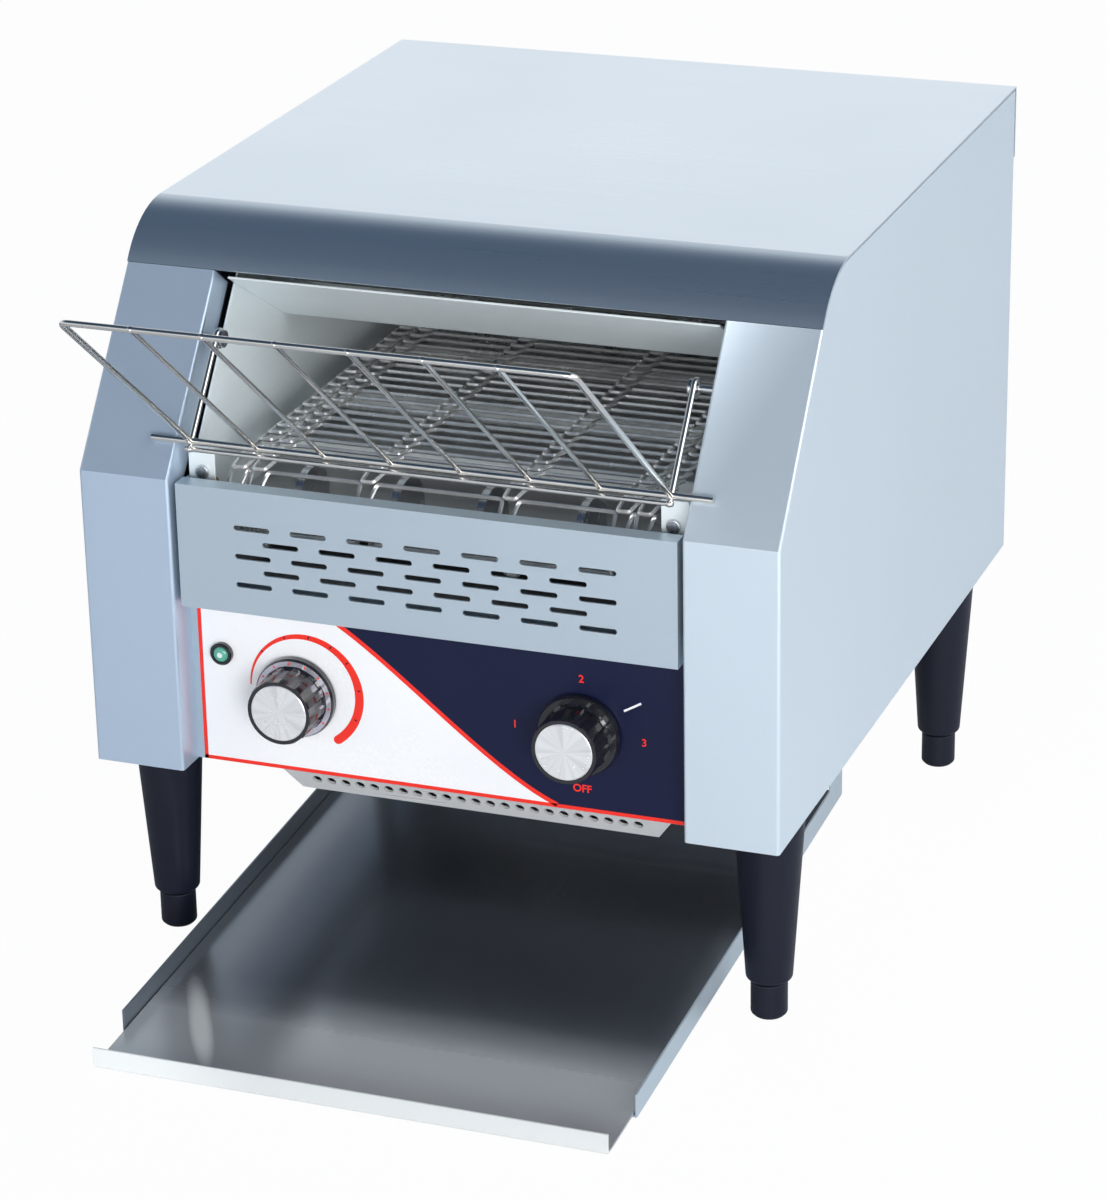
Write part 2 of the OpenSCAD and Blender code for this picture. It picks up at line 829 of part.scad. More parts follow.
module upper_reflector() {
    color(bright) placed() side_on(-liner_half + fit, liner_half - fit)
        polygon(strip([[reflector_front, reflector_z - reflector_lip], [reflector_front, reflector_z],
            [chute_back - sheet - fit, reflector_z]], -sheet));
}

// Shallow trough under the lower tubes, between the belt's two half turns
lower_reflector_z = shaft_z - 14;

module lower_reflector() {
    from = drive_y + belt_r + 4;
    to = idler_y - belt_r - 4;
    rim = 6;
    color(bright) placed() side_on(-liner_half + fit, liner_half - fit)
        polygon(strip([[from, lower_reflector_z + rim], [from + rim, lower_reflector_z],
            [to - rim, lower_reflector_z], [to, lower_reflector_z + rim]], sheet));
}

upper_places = [for (i = [0:2]) [upper_y + i * tube_pitch, upper_z]];
lower_places = [for (i = [0:2]) [lower_y + i * tube_pitch, shaft_z]];
tube_places = concat(upper_places, lower_places);

module upper_heaters() {
    color([0.93, 0.92, 0.9]) placed() for (p = upper_places) rod_x(-tube_half, tube_half, p, tube_r);
}

module lower_heaters() {
    color([0.93, 0.92, 0.9]) placed() for (p = lower_places) rod_x(-tube_half, tube_half, p, tube_r);
}

module heater_holders() {
    holder_end = 3;
    color([0.85, 0.82, 0.75]) placed() mirrored_x() for (p = tube_places) difference() {
        rod_x(liner_out, tube_half + holder_end, p, holder_r);
        rod_x(liner_out - cut, tube_half, p, tube_r);
    }
}

// Rear deflector and chute in one bent sheet, narrower where it passes the base
module toast_chute() {
    at_base = [chute_base_y, base_top];
    lap = 4;
    color(bright) placed() {
        side_on(-liner_half + fit, liner_half - fit)
            polygon(strip([[chute_back, reflector_z + sheet], chute_knee,
                at_base + [chute_lean, 1]], -sheet));
        side_on(-chute_half, chute_half)
            polygon(strip([chute_knee - lap * [chute_lean, 1], at_base, chute_low], -sheet));
    }
}

// ---- Belt ----

module belt_rod(p) {
    rod_x(-belt_half, belt_half, p, wire_r);
}

module belt_straight(z) {
    for (i = [0:belt_run]) belt_rod([drive_y + i * belt_pitch, z]);
    for (x = link_x) {
        block([x - link_w / 2, drive_y, z - link_t / 2], [x + link_w / 2, idler_y, z + link_t / 2]);
    }
}

// Half turn round one shaft; side is -1 in front and 1 behind
module belt_wrap(y, side) {
    for (i = [1:belt_teeth / 2 - 1]) {
        belt_rod([y + side * belt_r * sin(i * wire_step), shaft_z + belt_r * cos(i * wire_step)]);
    }
    for (x = link_x) translate([x - link_w / 2, y, shaft_z]) rotate([90, 0, 90])
        rotate(link_end - 90 * side) rotate_extrude(angle = 180 - 2 * link_end)
            translate([belt_r - link_t / 2, 0]) square([link_t, link_w]);
}

module belt_top_run() {
    color(bright) placed() belt_straight(belt_top);
}

module belt_bottom_run() {
    color(bright) placed() belt_straight(belt_bottom);
}

module belt_front_wrap() {
    color(bright) placed() belt_wrap(drive_y, -1);
}

module belt_rear_wrap() {
    color(bright) placed() belt_wrap(idler_y, 1);
}

// ---- Shafts, sprockets, chain and motor ----

module drive_shaft() {
    beyond_chain = 3;
    color(bright) placed() rod_x(-shaft_end, chain_x + chain_w + beyond_chain, [drive_y, shaft_z], shaft_r);
}

module idler_shaft() {
    color(bright) placed() rod_x(-shaft_end, shaft_end, [idler_y, shaft_z], shaft_r);
}

// Toothed disc whose tips run just inside the belt's wires
module belt_sprocket(x, y) {
    translate([x - sprocket_w / 2, y, shaft_z]) rotate([90, 0, 90]) difference() {
        cylinder(h = sprocket_w, r = tip_r);
        translate([0, 0, -cut]) cylinder(h = sprocket_w + 2 * cut, r = shaft_r);
        for (i = [0:belt_teeth - 1]) rotate(i * wire_step) translate([belt_r, 0, -cut])
            cylinder(h = sprocket_w + 2 * cut, r = notch_r);
    }
}

module drive_sprockets() {
    color(steel) placed() for (x = sprocket_x) belt_sprocket(x, drive_y);
}

module idler_sprockets() {
    color(steel) placed() for (x = sprocket_x) belt_sprocket(x, idler_y);
}

module shaft_bushes() {
    flange_t = 2;
    color([0.72, 0.52, 0.28]) placed() mirrored_x() for (y = [drive_y, idler_y]) difference() {
        union() {
            rod_x(liner_half - bush_in, liner_out + bush_out, [y, shaft_z], bush_r);
            rod_x(liner_out, liner_out + flange_t, [y, shaft_z], bush_flange_r);
        }
        rod_x(liner_half - bush_in - cut, liner_out + bush_out + cut, [y, shaft_z], shaft_r + run_gap);
    }
}

// Toothed chain wheel on the X axis, with its hub
module chain_wheel(teeth, pitch_r, bore) {
    roller_r = chain_t / 2;
    difference() {
        union() {
            cylinder(h = wheel_w, r = pitch_r - roller_r - fit);
            translate([0, 0, -hub_l]) cylinder(h = hub_l, r = bore + hub_wall);
        }
        translate([0, 0, -hub_l - cut]) cylinder(h = wheel_w + hub_l + 2 * cut, r = bore);
        for (i = [0:teeth - 1]) rotate(i * 360 / teeth) translate([pitch_r, 0, -cut])
            cylinder(h = wheel_w + 2 * cut, r = roller_r + tooth_gap);
    }
}

module shaft_chain_sprocket() {
    color(steel) placed() translate([wheel_x, drive_y, shaft_z]) rotate([90, 0, 90])
        chain_wheel(big_teeth, big_r, shaft_r);
}

// Motor output: stub shaft with its pinned chain wheel
module motor_output() {
    color(steel) placed() {
        translate([wheel_x, motor_y, motor_z]) rotate([90, 0, 90])
            chain_wheel(small_teeth, small_r, output_r);
        rod_x(liner_half - output_in, chain_x + chain_w, [motor_y, motor_z], output_r);
    }
}

// Closed chain: it bends at every half link round the two wheels
chain_bends = round((360 - 2 * chain_tilt) * big_teeth / 180);
output_bends = round(2 * chain_tilt * small_teeth / 180);
function chain_line(out) = concat(
    [for (i = [0:chain_bends]) let (a = chain_tilt + i * (360 - 2 * chain_tilt) / chain_bends)
        (big_r + out) * [cos(a), sin(a)]],
    [for (i = [0:output_bends]) let (a = 2 * chain_tilt * i / output_bends - chain_tilt)
        [chain_dist, 0] + (small_r + out) * [cos(a), sin(a)]]);

module drive_chain() {
    color(dark) placed() translate([chain_x, drive_y, shaft_z]) rotate([90, 0, 90]) rotate(chain_dir)
        linear_extrude(chain_w) difference() {
            polygon(chain_line(chain_t / 2));
            polygon(chain_line(-chain_t / 2));
        }
}

module gear_motor() {
    gear_case_l = 22;
    can_r = motor_r - 2;
    color(steel) placed() difference() {
        union() {
            rod_x(liner_half - motor_l, liner_half - gear_case_l, [motor_y, motor_z], can_r);
            rod_x(liner_half - gear_case_l, liner_half, [motor_y, motor_z], motor_r);
        }
        rod_x(liner_half - output_in - fit, liner_half + cut, [motor_y, motor_z], output_r + run_gap);
    }
}

// ---- Cooling fan ----

module fan_frame() {
    rib = 6;
    half = fan_size / 2;
    color(black) placed() translate([fan_x, fan_y, base_top]) {
        difference() {
            translate([-half, -half, 0]) cube([fan_size, fan_size, fan_h]);
            translate([0, 0, -cut]) cylinder(h = fan_h + 2 * cut, r = fan_bore_r);
        }
        for (a = [45, 135]) rotate(a) translate([-fan_bore_r - 1, -rib / 2, 0])
            cube([2 * fan_bore_r + 2, rib, fan_plate_h - 1]);
        cylinder(h = fan_plate_h, r = fan_hub_r - 1);
        cylinder(h = fan_hub_h, r = fan_post_r);
    }
}

module fan_rotor() {
    low = fan_plate_h + fan_gap;
    blades = 7;
    blade_l = fan_bore_r - fan_hub_r - fan_gap;
    blade_w = 18;
    blade_t = 1.6;
    blade_pitch = 55;
    color(black) placed() translate([fan_x, fan_y, base_top + low]) {
        difference() {
            cylinder(h = fan_hub_h, r = fan_hub_r);
            translate([0, 0, -cut]) cylinder(h = fan_hub_h - low + 2 * cut, r = fan_post_r + run_gap);
        }
        for (i = [0:blades - 1]) rotate(i * 360 / blades) translate([fan_hub_r - 1, 0, fan_hub_h / 2])
            rotate([blade_pitch, 0, 0]) translate([0, -blade_w / 2, -blade_t / 2])
                cube([blade_l, blade_w, blade_t]);
    }
}

// Three ways, each with a screw well on top and a wire entry in front
module terminal_block() {
    ways = 3;
    way_w = 14;
    deep = 22;
    high = 18;
    wall = 2;
    well_r = 3;
    well_h = 10;
    entry = 4;
    entry_z = 6;
    from = [10, shield_back - deep - 8, base_top];
    color([0.9, 0.88, 0.8]) placed() translate(from) difference() {
        cube([ways * way_w, deep, high]);
        for (i = [0:ways - 1]) {
            translate([(i + 0.5) * way_w, deep / 2, high - well_h]) cylinder(h = well_h + cut, r = well_r);
            block([i * way_w + wall, -cut, entry_z], [(i + 1) * way_w - wall, entry, high + cut]);
        }
    }
}

module cable_gland() {
    below = 12;
    above = 8;
    nut_wall = 2;
    color(black) placed() translate([gland_x, gland_y, 0]) difference() {
        union() {
            translate([0, 0, case_floor - below]) cylinder(h = below, r = gland_r + nut_wall);
            translate([0, 0, case_floor]) cylinder(h = above, r = gland_r);
        }
        translate([0, 0, case_floor - below - cut]) cylinder(h = below + above + 2 * cut, r = gland_bore_r);
    }
}

// ---- Legs and feet ----

module leg(p) {
    color(black) placed() translate([p[0], p[1], 0]) difference() {
        union() {
            translate([0, 0, leg_low_z + leg_chamfer])
                cylinder(h = leg_h - leg_chamfer, r1 = leg_low_r, r2 = leg_top_r);
            translate([0, 0, leg_low_z]) cylinder(h = leg_chamfer, r1 = foot_r, r2 = leg_low_r);
            translate([0, 0, case_floor]) cylinder(h = leg_stud_h, r = leg_stud_r);
        }
        translate([0, 0, leg_low_z - cut]) cylinder(h = stem_l + cut + 2, r = stem_r + run_gap);
    }
}

module foot(p) {
    edge = 2;
    color(black) placed() translate([p[0], p[1], 0]) {
        cylinder(h = edge, r1 = foot_r - edge, r2 = foot_r);
        translate([0, 0, edge]) cylinder(h = leg_low_z - fit - edge, r = foot_r);
        translate([0, 0, leg_low_z - fit]) cylinder(h = stem_l, r = stem_r);
    }
}

module leg_front_left() {
    leg(leg_places[0]);
}

module leg_front_right() {
    leg(leg_places[1]);
}

module leg_rear_left() {
    leg(leg_places[2]);
}

module leg_rear_right() {
    leg(leg_places[3]);
}

module foot_front_left() {
    foot(leg_places[0]);
}

module foot_front_right() {
    foot(leg_places[1]);
}

module foot_rear_left() {
    foot(leg_places[2]);
}

module foot_rear_right() {
    foot(leg_places[3]);
}

// ---- Tray ----

module tray() {
    color(bright) placed() side_on(-tray_half, tray_half)
        polygon(strip([[tray_front, lip_z + lip_h], [tray_front, lip_z],
            [tray_back, tray_z(tray_back)]], tray_t));
}

// A guide's wall, floor flange and hanger are one bent sheet
module tray_guide() {
    front = [guide_front, tray_z(guide_front) - guide_drop];
    back = [guide_back, tray_z(guide_back) - guide_drop];
    hanger_front = guide_back - hanger_l;
    side_on(guide_x, guide_x + tray_t) {
        polygon([front, back, back + [0, guide_h], front + [0, guide_h]]);
        polygon([[hanger_front, tray_z(hanger_front)], [guide_back, tray_z(guide_back)],
            [guide_back, base_z], [hanger_front, base_z]]);
    }
    side_on(guide_x + tray_t - guide_floor, guide_x + tray_t)
        polygon([front, back, back + [0, tray_t], front + [0, tray_t]]);
    block([guide_x, hanger_front, base_z - tray_t], [guide_x + hanger_top_w, guide_back, base_z]);
}

module tray_guide_left() {
    color(steel) placed() mirror([1, 0, 0]) tray_guide();
}

module tray_guide_right() {
    color(steel) placed() tray_guide();
}

// ---- Feed rack ----

// Welded wire rack: a wing of wires in front, two cross rods at its foot and
// two arms up to the eyes that hang on the studs
module feed_rack() {
    step = 2 * rack_half / (rack_wires - 1);
    color(bright) placed() {
        rod_x(-rest_half, rest_half, rest_p, frame_r);
        rod_x(-rack_half - arm_r, rack_half + arm_r, second_p, cross_r);
        rod_x(-rack_half - arm_r, rack_half + arm_r, wing_tip, frame_r);
        for (i = [0:rack_wires - 1]) {
            outer = i == 0 || i == rack_wires - 1;
            rod_yz(-rack_half + i * step, rest_p, wing_tip, outer ? arm_r : cross_r);
        }
        mirrored_x() {
            rod_yz(rack_half, second_p, eye_front, arm_r);
            difference() {
                rod_x(rack_half - eye_w / 2, rack_half + eye_w / 2, hinge_p, eye_r + arm_r);
                rod_x(rack_half - eye_w, rack_half + eye_w, hinge_p, stud_r + eye_gap);
            }
        }
    }
}

module rack_studs() {
    head_r = eye_r + arm_r - 1;
    head_x = rack_half - arm_r - fit;
    head_t = 1.5;
    stud_in = 3;
    color(bright) placed() mirrored_x() {
        rod_x(head_x, post_in + sheet + stud_in, hinge_p, stud_r);
        rod_x(head_x - head_t, head_x, hinge_p, head_r);
    }
}

// ---- Fasteners ----

module screw(l) {
    cylinder(h = screw_head_h, r = screw_head_r);
    translate([0, 0, -l]) cylinder(h = l, r = screw_r);
}

module casing_screws() {
    ear_screw_l = 5;
    color(bright) placed() mirrored_x() {
        translate([ear_screw_x, liner_front, ear_screw_z]) rotate([90, 0, 0]) screw(ear_screw_l);
        for (z = rear_screw_z) translate([rear_screw_x, rear_plate_y + sheet, z])
            rotate([-90, 0, 0]) screw(sheet);
    }
}

side_panel_left();
side_panel_right();
top_cover();
rear_panel();
base_plate();
underside_pan();
vent_panel();
control_panel();
panel_overlay();
electrics_shield();
liner_left();
liner_right();
front_deflector();
upper_reflector();
lower_reflector();
upper_heaters();
lower_heaters();
heater_holders();
toast_chute();
belt_top_run();
belt_front_wrap();
belt_bottom_run();
belt_rear_wrap();
drive_shaft();
drive_sprockets();
idler_shaft();
idler_sprockets();
shaft_bushes();
shaft_chain_sprocket();
motor_output();
drive_chain();
gear_motor();
fan_frame();
fan_rotor();
speed_knob();
speed_knob_cap();
speed_spindle();
speed_regulator();
mode_knob();
mode_knob_cap();
mode_spindle();
mode_switch();
pilot_lamp_ring();
pilot_lamp_lens();
terminal_block();
cable_gland();
leg_front_left();
leg_front_right();
leg_rear_left();
leg_rear_right();
foot_front_left();
foot_front_right();
foot_rear_left();
foot_rear_right();
tray();
tray_guide_left();
tray_guide_right();
feed_rack();
rack_studs();
casing_screws();
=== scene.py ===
import json
import math

import bpy
from mathutils import Matrix, Vector

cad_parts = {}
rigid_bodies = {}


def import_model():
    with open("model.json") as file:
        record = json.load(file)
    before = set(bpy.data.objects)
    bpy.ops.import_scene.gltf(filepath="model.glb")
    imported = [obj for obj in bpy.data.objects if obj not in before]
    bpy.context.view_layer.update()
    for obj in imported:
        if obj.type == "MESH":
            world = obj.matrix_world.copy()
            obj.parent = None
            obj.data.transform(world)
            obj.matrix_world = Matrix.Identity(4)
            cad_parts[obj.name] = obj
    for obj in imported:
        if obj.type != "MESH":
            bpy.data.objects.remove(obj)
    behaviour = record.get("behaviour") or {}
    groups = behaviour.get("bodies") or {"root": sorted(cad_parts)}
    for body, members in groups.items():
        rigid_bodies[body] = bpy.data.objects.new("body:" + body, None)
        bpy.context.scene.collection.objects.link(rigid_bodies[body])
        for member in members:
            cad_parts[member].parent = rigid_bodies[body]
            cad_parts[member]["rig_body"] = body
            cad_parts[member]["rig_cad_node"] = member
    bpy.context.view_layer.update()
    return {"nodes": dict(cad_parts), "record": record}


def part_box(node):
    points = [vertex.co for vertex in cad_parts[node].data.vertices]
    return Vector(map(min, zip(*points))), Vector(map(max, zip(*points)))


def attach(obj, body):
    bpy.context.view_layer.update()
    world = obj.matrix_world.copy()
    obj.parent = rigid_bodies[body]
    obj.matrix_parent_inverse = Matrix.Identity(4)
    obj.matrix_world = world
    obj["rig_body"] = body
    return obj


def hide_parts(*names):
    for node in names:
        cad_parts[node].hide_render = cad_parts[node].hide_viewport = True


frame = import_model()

# ---- Camera ----------------------------------------------------------------
# A long lens to the right of the toaster and above it, turned a little on its
# axis. The place and the angles were worked out from the casing's corners.
camera_place = Vector((0.7142, -1.8607, 0.9771))
camera_yaw, camera_pitch, camera_roll = (math.radians(a) for a in (-20.75, -22.25, -1.1))
forward = Vector((math.sin(camera_yaw) * math.cos(camera_pitch),
                  math.cos(camera_yaw) * math.cos(camera_pitch), math.sin(camera_pitch)))
level = Vector((math.cos(camera_yaw), -math.sin(camera_yaw), 0))
upward = level.cross(forward)
right = level * math.cos(camera_roll) + upward * math.sin(camera_roll)
above = upward * math.cos(camera_roll) - level * math.sin(camera_roll)

camera = bpy.data.objects.new("camera", bpy.data.cameras.new("camera"))
camera.data.lens = 121.8
camera.data.clip_end = 50
camera_turn = Matrix((right, above, -forward)).transposed().to_4x4()
camera.matrix_world = Matrix.Translation(camera_place) @ camera_turn
bpy.context.scene.collection.objects.link(camera)
bpy.context.scene.camera = camera
bpy.context.scene.view_settings.view_transform = "Standard"

# ---- Studio ----------------------------------------------------------------
# A pale floor, a white surround that grows darker overhead, and four soft
# lamps: one at the right, one behind, and two low ahead for the controls and
# the tunnel.
floor_size = 16
floor_drop = 0.0002
floor_glow = 0.97
lamp_target = Vector((0, 0, 0.2))
world = bpy.data.worlds.new("studio")
bpy.context.scene.world = world
world.use_nodes = True
sky = world.node_tree
sky.nodes.clear()
sky_out = sky.nodes.new("ShaderNodeOutputWorld")
sky_mix = sky.nodes.new("ShaderNodeMixShader")
sky_seen = sky.nodes.new("ShaderNodeBackground")
sky_light = sky.nodes.new("ShaderNodeBackground")
sky_ray = sky.nodes.new("ShaderNodeLightPath")
sky_place = sky.nodes.new("ShaderNodeTexCoord")
sky_split = sky.nodes.new("ShaderNodeSeparateXYZ")
sky_ramp = sky.nodes.new("ShaderNodeValToRGB")
sky_seen.inputs["Color"].default_value = (1, 1, 1, 1)
sky_ramp.color_ramp.elements[0].position = 0.30
sky_ramp.color_ramp.elements[0].color = (0.95, 0.97, 1, 1)
sky_ramp.color_ramp.elements[1].position = 0.76
sky_ramp.color_ramp.elements[1].color = (0.04, 0.07, 0.12, 1)
sky_ramp.color_ramp.elements.new(0.56).color = (0.10, 0.15, 0.22, 1)
sky_light.inputs["Strength"].default_value = 0.95
sky.links.new(sky_place.outputs["Generated"], sky_split.inputs[0])
sky.links.new(sky_split.outputs["Z"], sky_ramp.inputs["Fac"])
sky.links.new(sky_ramp.outputs["Color"], sky_light.inputs["Color"])
sky.links.new(sky_ray.outputs["Is Camera Ray"], sky_mix.inputs["Fac"])
sky.links.new(sky_light.outputs[0], sky_mix.inputs[1])
sky.links.new(sky_seen.outputs[0], sky_mix.inputs[2])
sky.links.new(sky_mix.outputs[0], sky_out.inputs["Surface"])

for lamp_name, lamp_place, lamp_size, lamp_power in (
        ("lamp_right", (2.7, -0.1, 1.8), 3.0, 62), ("lamp_behind", (-1.0, 2.8, 1.6), 2.4, 3),
        ("lamp_ahead", (0.2, -2.6, 0.55), 1.1, 13), ("lamp_low", (1.3, -2.2, 0.45), 0.9, 23)):
    light = bpy.data.lights.new(lamp_name, "AREA")
    light.size = lamp_size
    light.energy = lamp_power
    lamp = bpy.data.objects.new(lamp_name, light)
    lamp.location = lamp_place
    lamp.rotation_euler = (lamp_target - lamp.location).to_track_quat("-Z", "Y").to_euler()
    bpy.context.scene.collection.objects.link(lamp)

bpy.ops.object.select_all(action="DESELECT")
bpy.ops.mesh.primitive_plane_add(size=floor_size, location=(0, 0, -floor_drop))
floor = bpy.context.object
floor.name = "floor"
floor_paint = bpy.data.materials.new("studio_floor")
floor_paint.use_nodes = True
paper = floor_paint.node_tree
paper_body = paper.nodes["Principled BSDF"]
paper_body.inputs["Base Color"].default_value = (0.86, 0.87, 0.88, 1)
paper_body.inputs["Roughness"].default_value = 0.9
paper_body.inputs["Specular IOR Level"].default_value = 0.1
paper_glow = paper.nodes.new("ShaderNodeEmission")
paper_glow.inputs["Color"].default_value = (1, 1, 1, 1)
paper_mix = paper.nodes.new("ShaderNodeMixShader")
paper_ray = paper.nodes.new("ShaderNodeLightPath")
paper_share = paper.nodes.new("ShaderNodeMath")
paper_share.operation = "MULTIPLY"
paper_share.inputs[1].default_value = floor_glow
paper.links.new(paper_ray.outputs["Is Camera Ray"], paper_share.inputs[0])
paper.links.new(paper_share.outputs[0], paper_mix.inputs["Fac"])
paper.links.new(paper_body.outputs[0], paper_mix.inputs[1])
paper.links.new(paper_glow.outputs[0], paper_mix.inputs[2])
paper.links.new(paper_mix.outputs[0], paper.nodes["Material Output"].inputs["Surface"])
floor.data.materials.append(floor_paint)

# ---- Side panels -----------------------------------------------------------
# Each side is one sheet of brushed stainless steel: the side, the front post
# and its return flange are folded from it, so the folds are round outside.
fold_radius = 0.0016
fold_steps = 4
sheet_edge = 0.0003
weld_distance = 0.000002
flat_angle = 0.01
sharp_angle = math.radians(32)


def streak_group():
    """Fine lines that run along the brushing, and the wide soft cloud of a wiped sheet."""
    group = bpy.data.node_groups.new("brushed_streaks", "ShaderNodeTree")
    group.interface.new_socket("Vector", in_out="INPUT", socket_type="NodeSocketVector")
    group.interface.new_socket("Grain", in_out="INPUT", socket_type="NodeSocketVector")
    group.interface.new_socket("Cloud Size", in_out="INPUT", socket_type="NodeSocketFloat")
    group.interface.new_socket("Streaks", in_out="OUTPUT", socket_type="NodeSocketFloat")
    group.interface.new_socket("Cloud", in_out="OUTPUT", socket_type="NodeSocketFloat")
    ins = group.nodes.new("NodeGroupInput")
    outs = group.nodes.new("NodeGroupOutput")
    stretch = group.nodes.new("ShaderNodeVectorMath")
    stretch.operation = "MULTIPLY"
    lines = group.nodes.new("ShaderNodeTexNoise")
    lines.inputs["Scale"].default_value = 1
    lines.inputs["Detail"].default_value = 4
    cloud = group.nodes.new("ShaderNodeTexNoise")
    cloud.inputs["Detail"].default_value = 2
    group.links.new(ins.outputs["Vector"], stretch.inputs[0])
    group.links.new(ins.outputs["Grain"], stretch.inputs[1])
    group.links.new(stretch.outputs[0], lines.inputs["Vector"])
    group.links.new(ins.outputs["Vector"], cloud.inputs["Vector"])
    group.links.new(ins.outputs["Cloud Size"], cloud.inputs["Scale"])
    group.links.new(lines.outputs[0], outs.inputs["Streaks"])
    group.links.new(cloud.outputs[0], outs.inputs["Cloud"])
    return group


brushed_streaks = streak_group()
half_share = 0.5
noise_low, noise_high = 0.3, 0.7
relief_depth = 0.0002


def sheet_metal(name, pale, deep, grain, rough=(0.24, 0.38), cloud_size=7, bump=0.04, metallic=1):
    """Metal whose colour and gloss vary with the streaks and with the cloud."""
    material = bpy.data.materials.new(name)
    material.use_nodes = True
    tree = material.node_tree
    body = tree.nodes["Principled BSDF"]
    body.inputs["Metallic"].default_value = metallic
    place = tree.nodes.new("ShaderNodeTexCoord")
    streaks = tree.nodes.new("ShaderNodeGroup")
    streaks.node_tree = brushed_streaks
    streaks.inputs["Grain"].default_value = grain
    streaks.inputs["Cloud Size"].default_value = cloud_size
    both = tree.nodes.new("ShaderNodeMath")
    both.operation = "MULTIPLY_ADD"
    both.inputs[1].default_value = half_share
    tone = tree.nodes.new("ShaderNodeMix")
    tone.data_type = "RGBA"
    tone.inputs["A"].default_value = (*deep, 1)
    tone.inputs["B"].default_value = (*pale, 1)
    gloss = tree.nodes.new("ShaderNodeMapRange")
    gloss.inputs["From Min"].default_value = noise_low
    gloss.inputs["From Max"].default_value = noise_high
    gloss.inputs["To Min"].default_value = rough[0]
    gloss.inputs["To Max"].default_value = rough[1]
    relief = tree.nodes.new("ShaderNodeBump")
    relief.inputs["Strength"].default_value = bump
    relief.inputs["Distance"].default_value = relief_depth
    half_cloud = tree.nodes.new("ShaderNodeMath")
    half_cloud.operation = "MULTIPLY"
    half_cloud.inputs[1].default_value = half_share
    tree.links.new(place.outputs["Object"], streaks.inputs["Vector"])
    tree.links.new(streaks.outputs["Cloud"], half_cloud.inputs[0])
    tree.links.new(streaks.outputs["Streaks"], both.inputs[0])
    tree.links.new(half_cloud.outputs[0], both.inputs[2])
    tree.links.new(both.outputs[0], tone.inputs["Factor"])
    tree.links.new(both.outputs[0], gloss.inputs["Value"])
    tree.links.new(streaks.outputs["Streaks"], relief.inputs["Height"])
    tree.links.new(tone.outputs["Result"], body.inputs["Base Color"])
    tree.links.new(gloss.outputs["Result"], body.inputs["Roughness"])
    tree.links.new(relief.outputs["Normal"], body.inputs["Normal"])
    return material


def ride_like(piece, node):
    """The piece stands for a CAD node: same body, and the node is hidden."""
    body = next(b for b, members in frame["record"]["behaviour"]["bodies"].items() if node in members)
    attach(piece, body)
    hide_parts(node)


def from_solid(node, name, material, edge=sheet_edge, folds=None, fold=fold_radius, steps=2):
    """A merged copy of a CAD node with round folds and eased edges."""
    piece = frame["nodes"][node].copy()
    piece.data = piece.data.copy()
    piece.name = name
    piece.parent = None
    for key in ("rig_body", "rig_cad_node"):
        del piece[key]
    bpy.context.scene.collection.objects.link(piece)
    bpy.ops.object.select_all(action="DESELECT")
    bpy.context.view_layer.objects.active = piece
    piece.select_set(True)
    bpy.ops.object.mode_set(mode="EDIT")
    bpy.context.tool_settings.mesh_select_mode = (False, True, False)
    bpy.ops.mesh.select_all(action="SELECT")
    bpy.ops.mesh.remove_doubles(threshold=weld_distance)
    bpy.ops.mesh.dissolve_limited(angle_limit=flat_angle)
    bpy.ops.mesh.select_all(action="DESELECT")
    bpy.ops.object.mode_set(mode="OBJECT")
    if folds:
        points = piece.data.vertices
        for line in piece.data.edges:
            line.select = folds(points[line.vertices[0]].co, points[line.vertices[1]].co)
        bpy.ops.object.mode_set(mode="EDIT")
        bpy.ops.mesh.bevel(offset=fold, segments=fold_steps)
        bpy.ops.object.mode_set(mode="OBJECT")
    if edge:
        ease = piece.modifiers.new("eased_edges", "BEVEL")
        ease.width = edge
        ease.segments = steps
        ease.limit_method = "ANGLE"
        ease.angle_limit = sharp_angle
        bpy.ops.object.modifier_apply(modifier=ease.name)
    bpy.ops.object.shade_smooth_by_angle(angle=sharp_angle)
    flat = piece.modifiers.new("flat_faces", "WEIGHTED_NORMAL")
    flat.keep_sharp = True
    bpy.ops.object.modifier_apply(modifier=flat.name)
    piece.data.materials.clear()
    piece.data.materials.append(material)
    ride_like(piece, node)
    return piece


case_low, case_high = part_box("side_panel_right")
half_width = case_high.x
post_front = case_low.y
post_inner = case_low.x
kink_height = 0.271
seam_height = 0.360
seam_depth = 0.067
near = 1e-5
shortest_fold = 0.01


def on_front_fold(a, b):
    """True for the long outer edges of the posts, at the side and at the inner return."""
    for p in (a, b):
        climb = max(0, (p.z - kink_height) / (seam_height - kink_height))
        front = post_front + climb * seam_depth
        on_edge = min(abs(abs(p.x) - half_width), abs(abs(p.x) - post_inner)) < near
        if not on_edge or abs(p.y - front) > near or p.z > seam_height + near:
            return False
    return abs(a.z - b.z) > shortest_fold


brushed_lengthways = (60, 5, 1400)
side_rough = (0.30, 0.36)
wide_cloud = 5
faint_lines = 0.012
# The left sheet is a darker blue-grey than the right one: painted shade on the left, and a lit copy of the
# same steel on the right.
steel_left_shaded = sheet_metal("stainless_left_shaded", (0.53, 0.64, 0.77), (0.50, 0.61, 0.74),
                         brushed_lengthways, rough=side_rough, cloud_size=wide_cloud, bump=faint_lines,
                         metallic=0.5)
steel_right_lit = sheet_metal("stainless_right_lit", (0.69, 0.78, 0.85), (0.66, 0.75, 0.82),
                          brushed_lengthways, rough=side_rough, cloud_size=wide_cloud, bump=faint_lines,
                          metallic=0.5)
for side, metal in (("left", steel_left_shaded), ("right", steel_right_lit)):
    from_solid("side_panel_" + side, "side_sheet_" + side, metal, folds=on_front_fold)

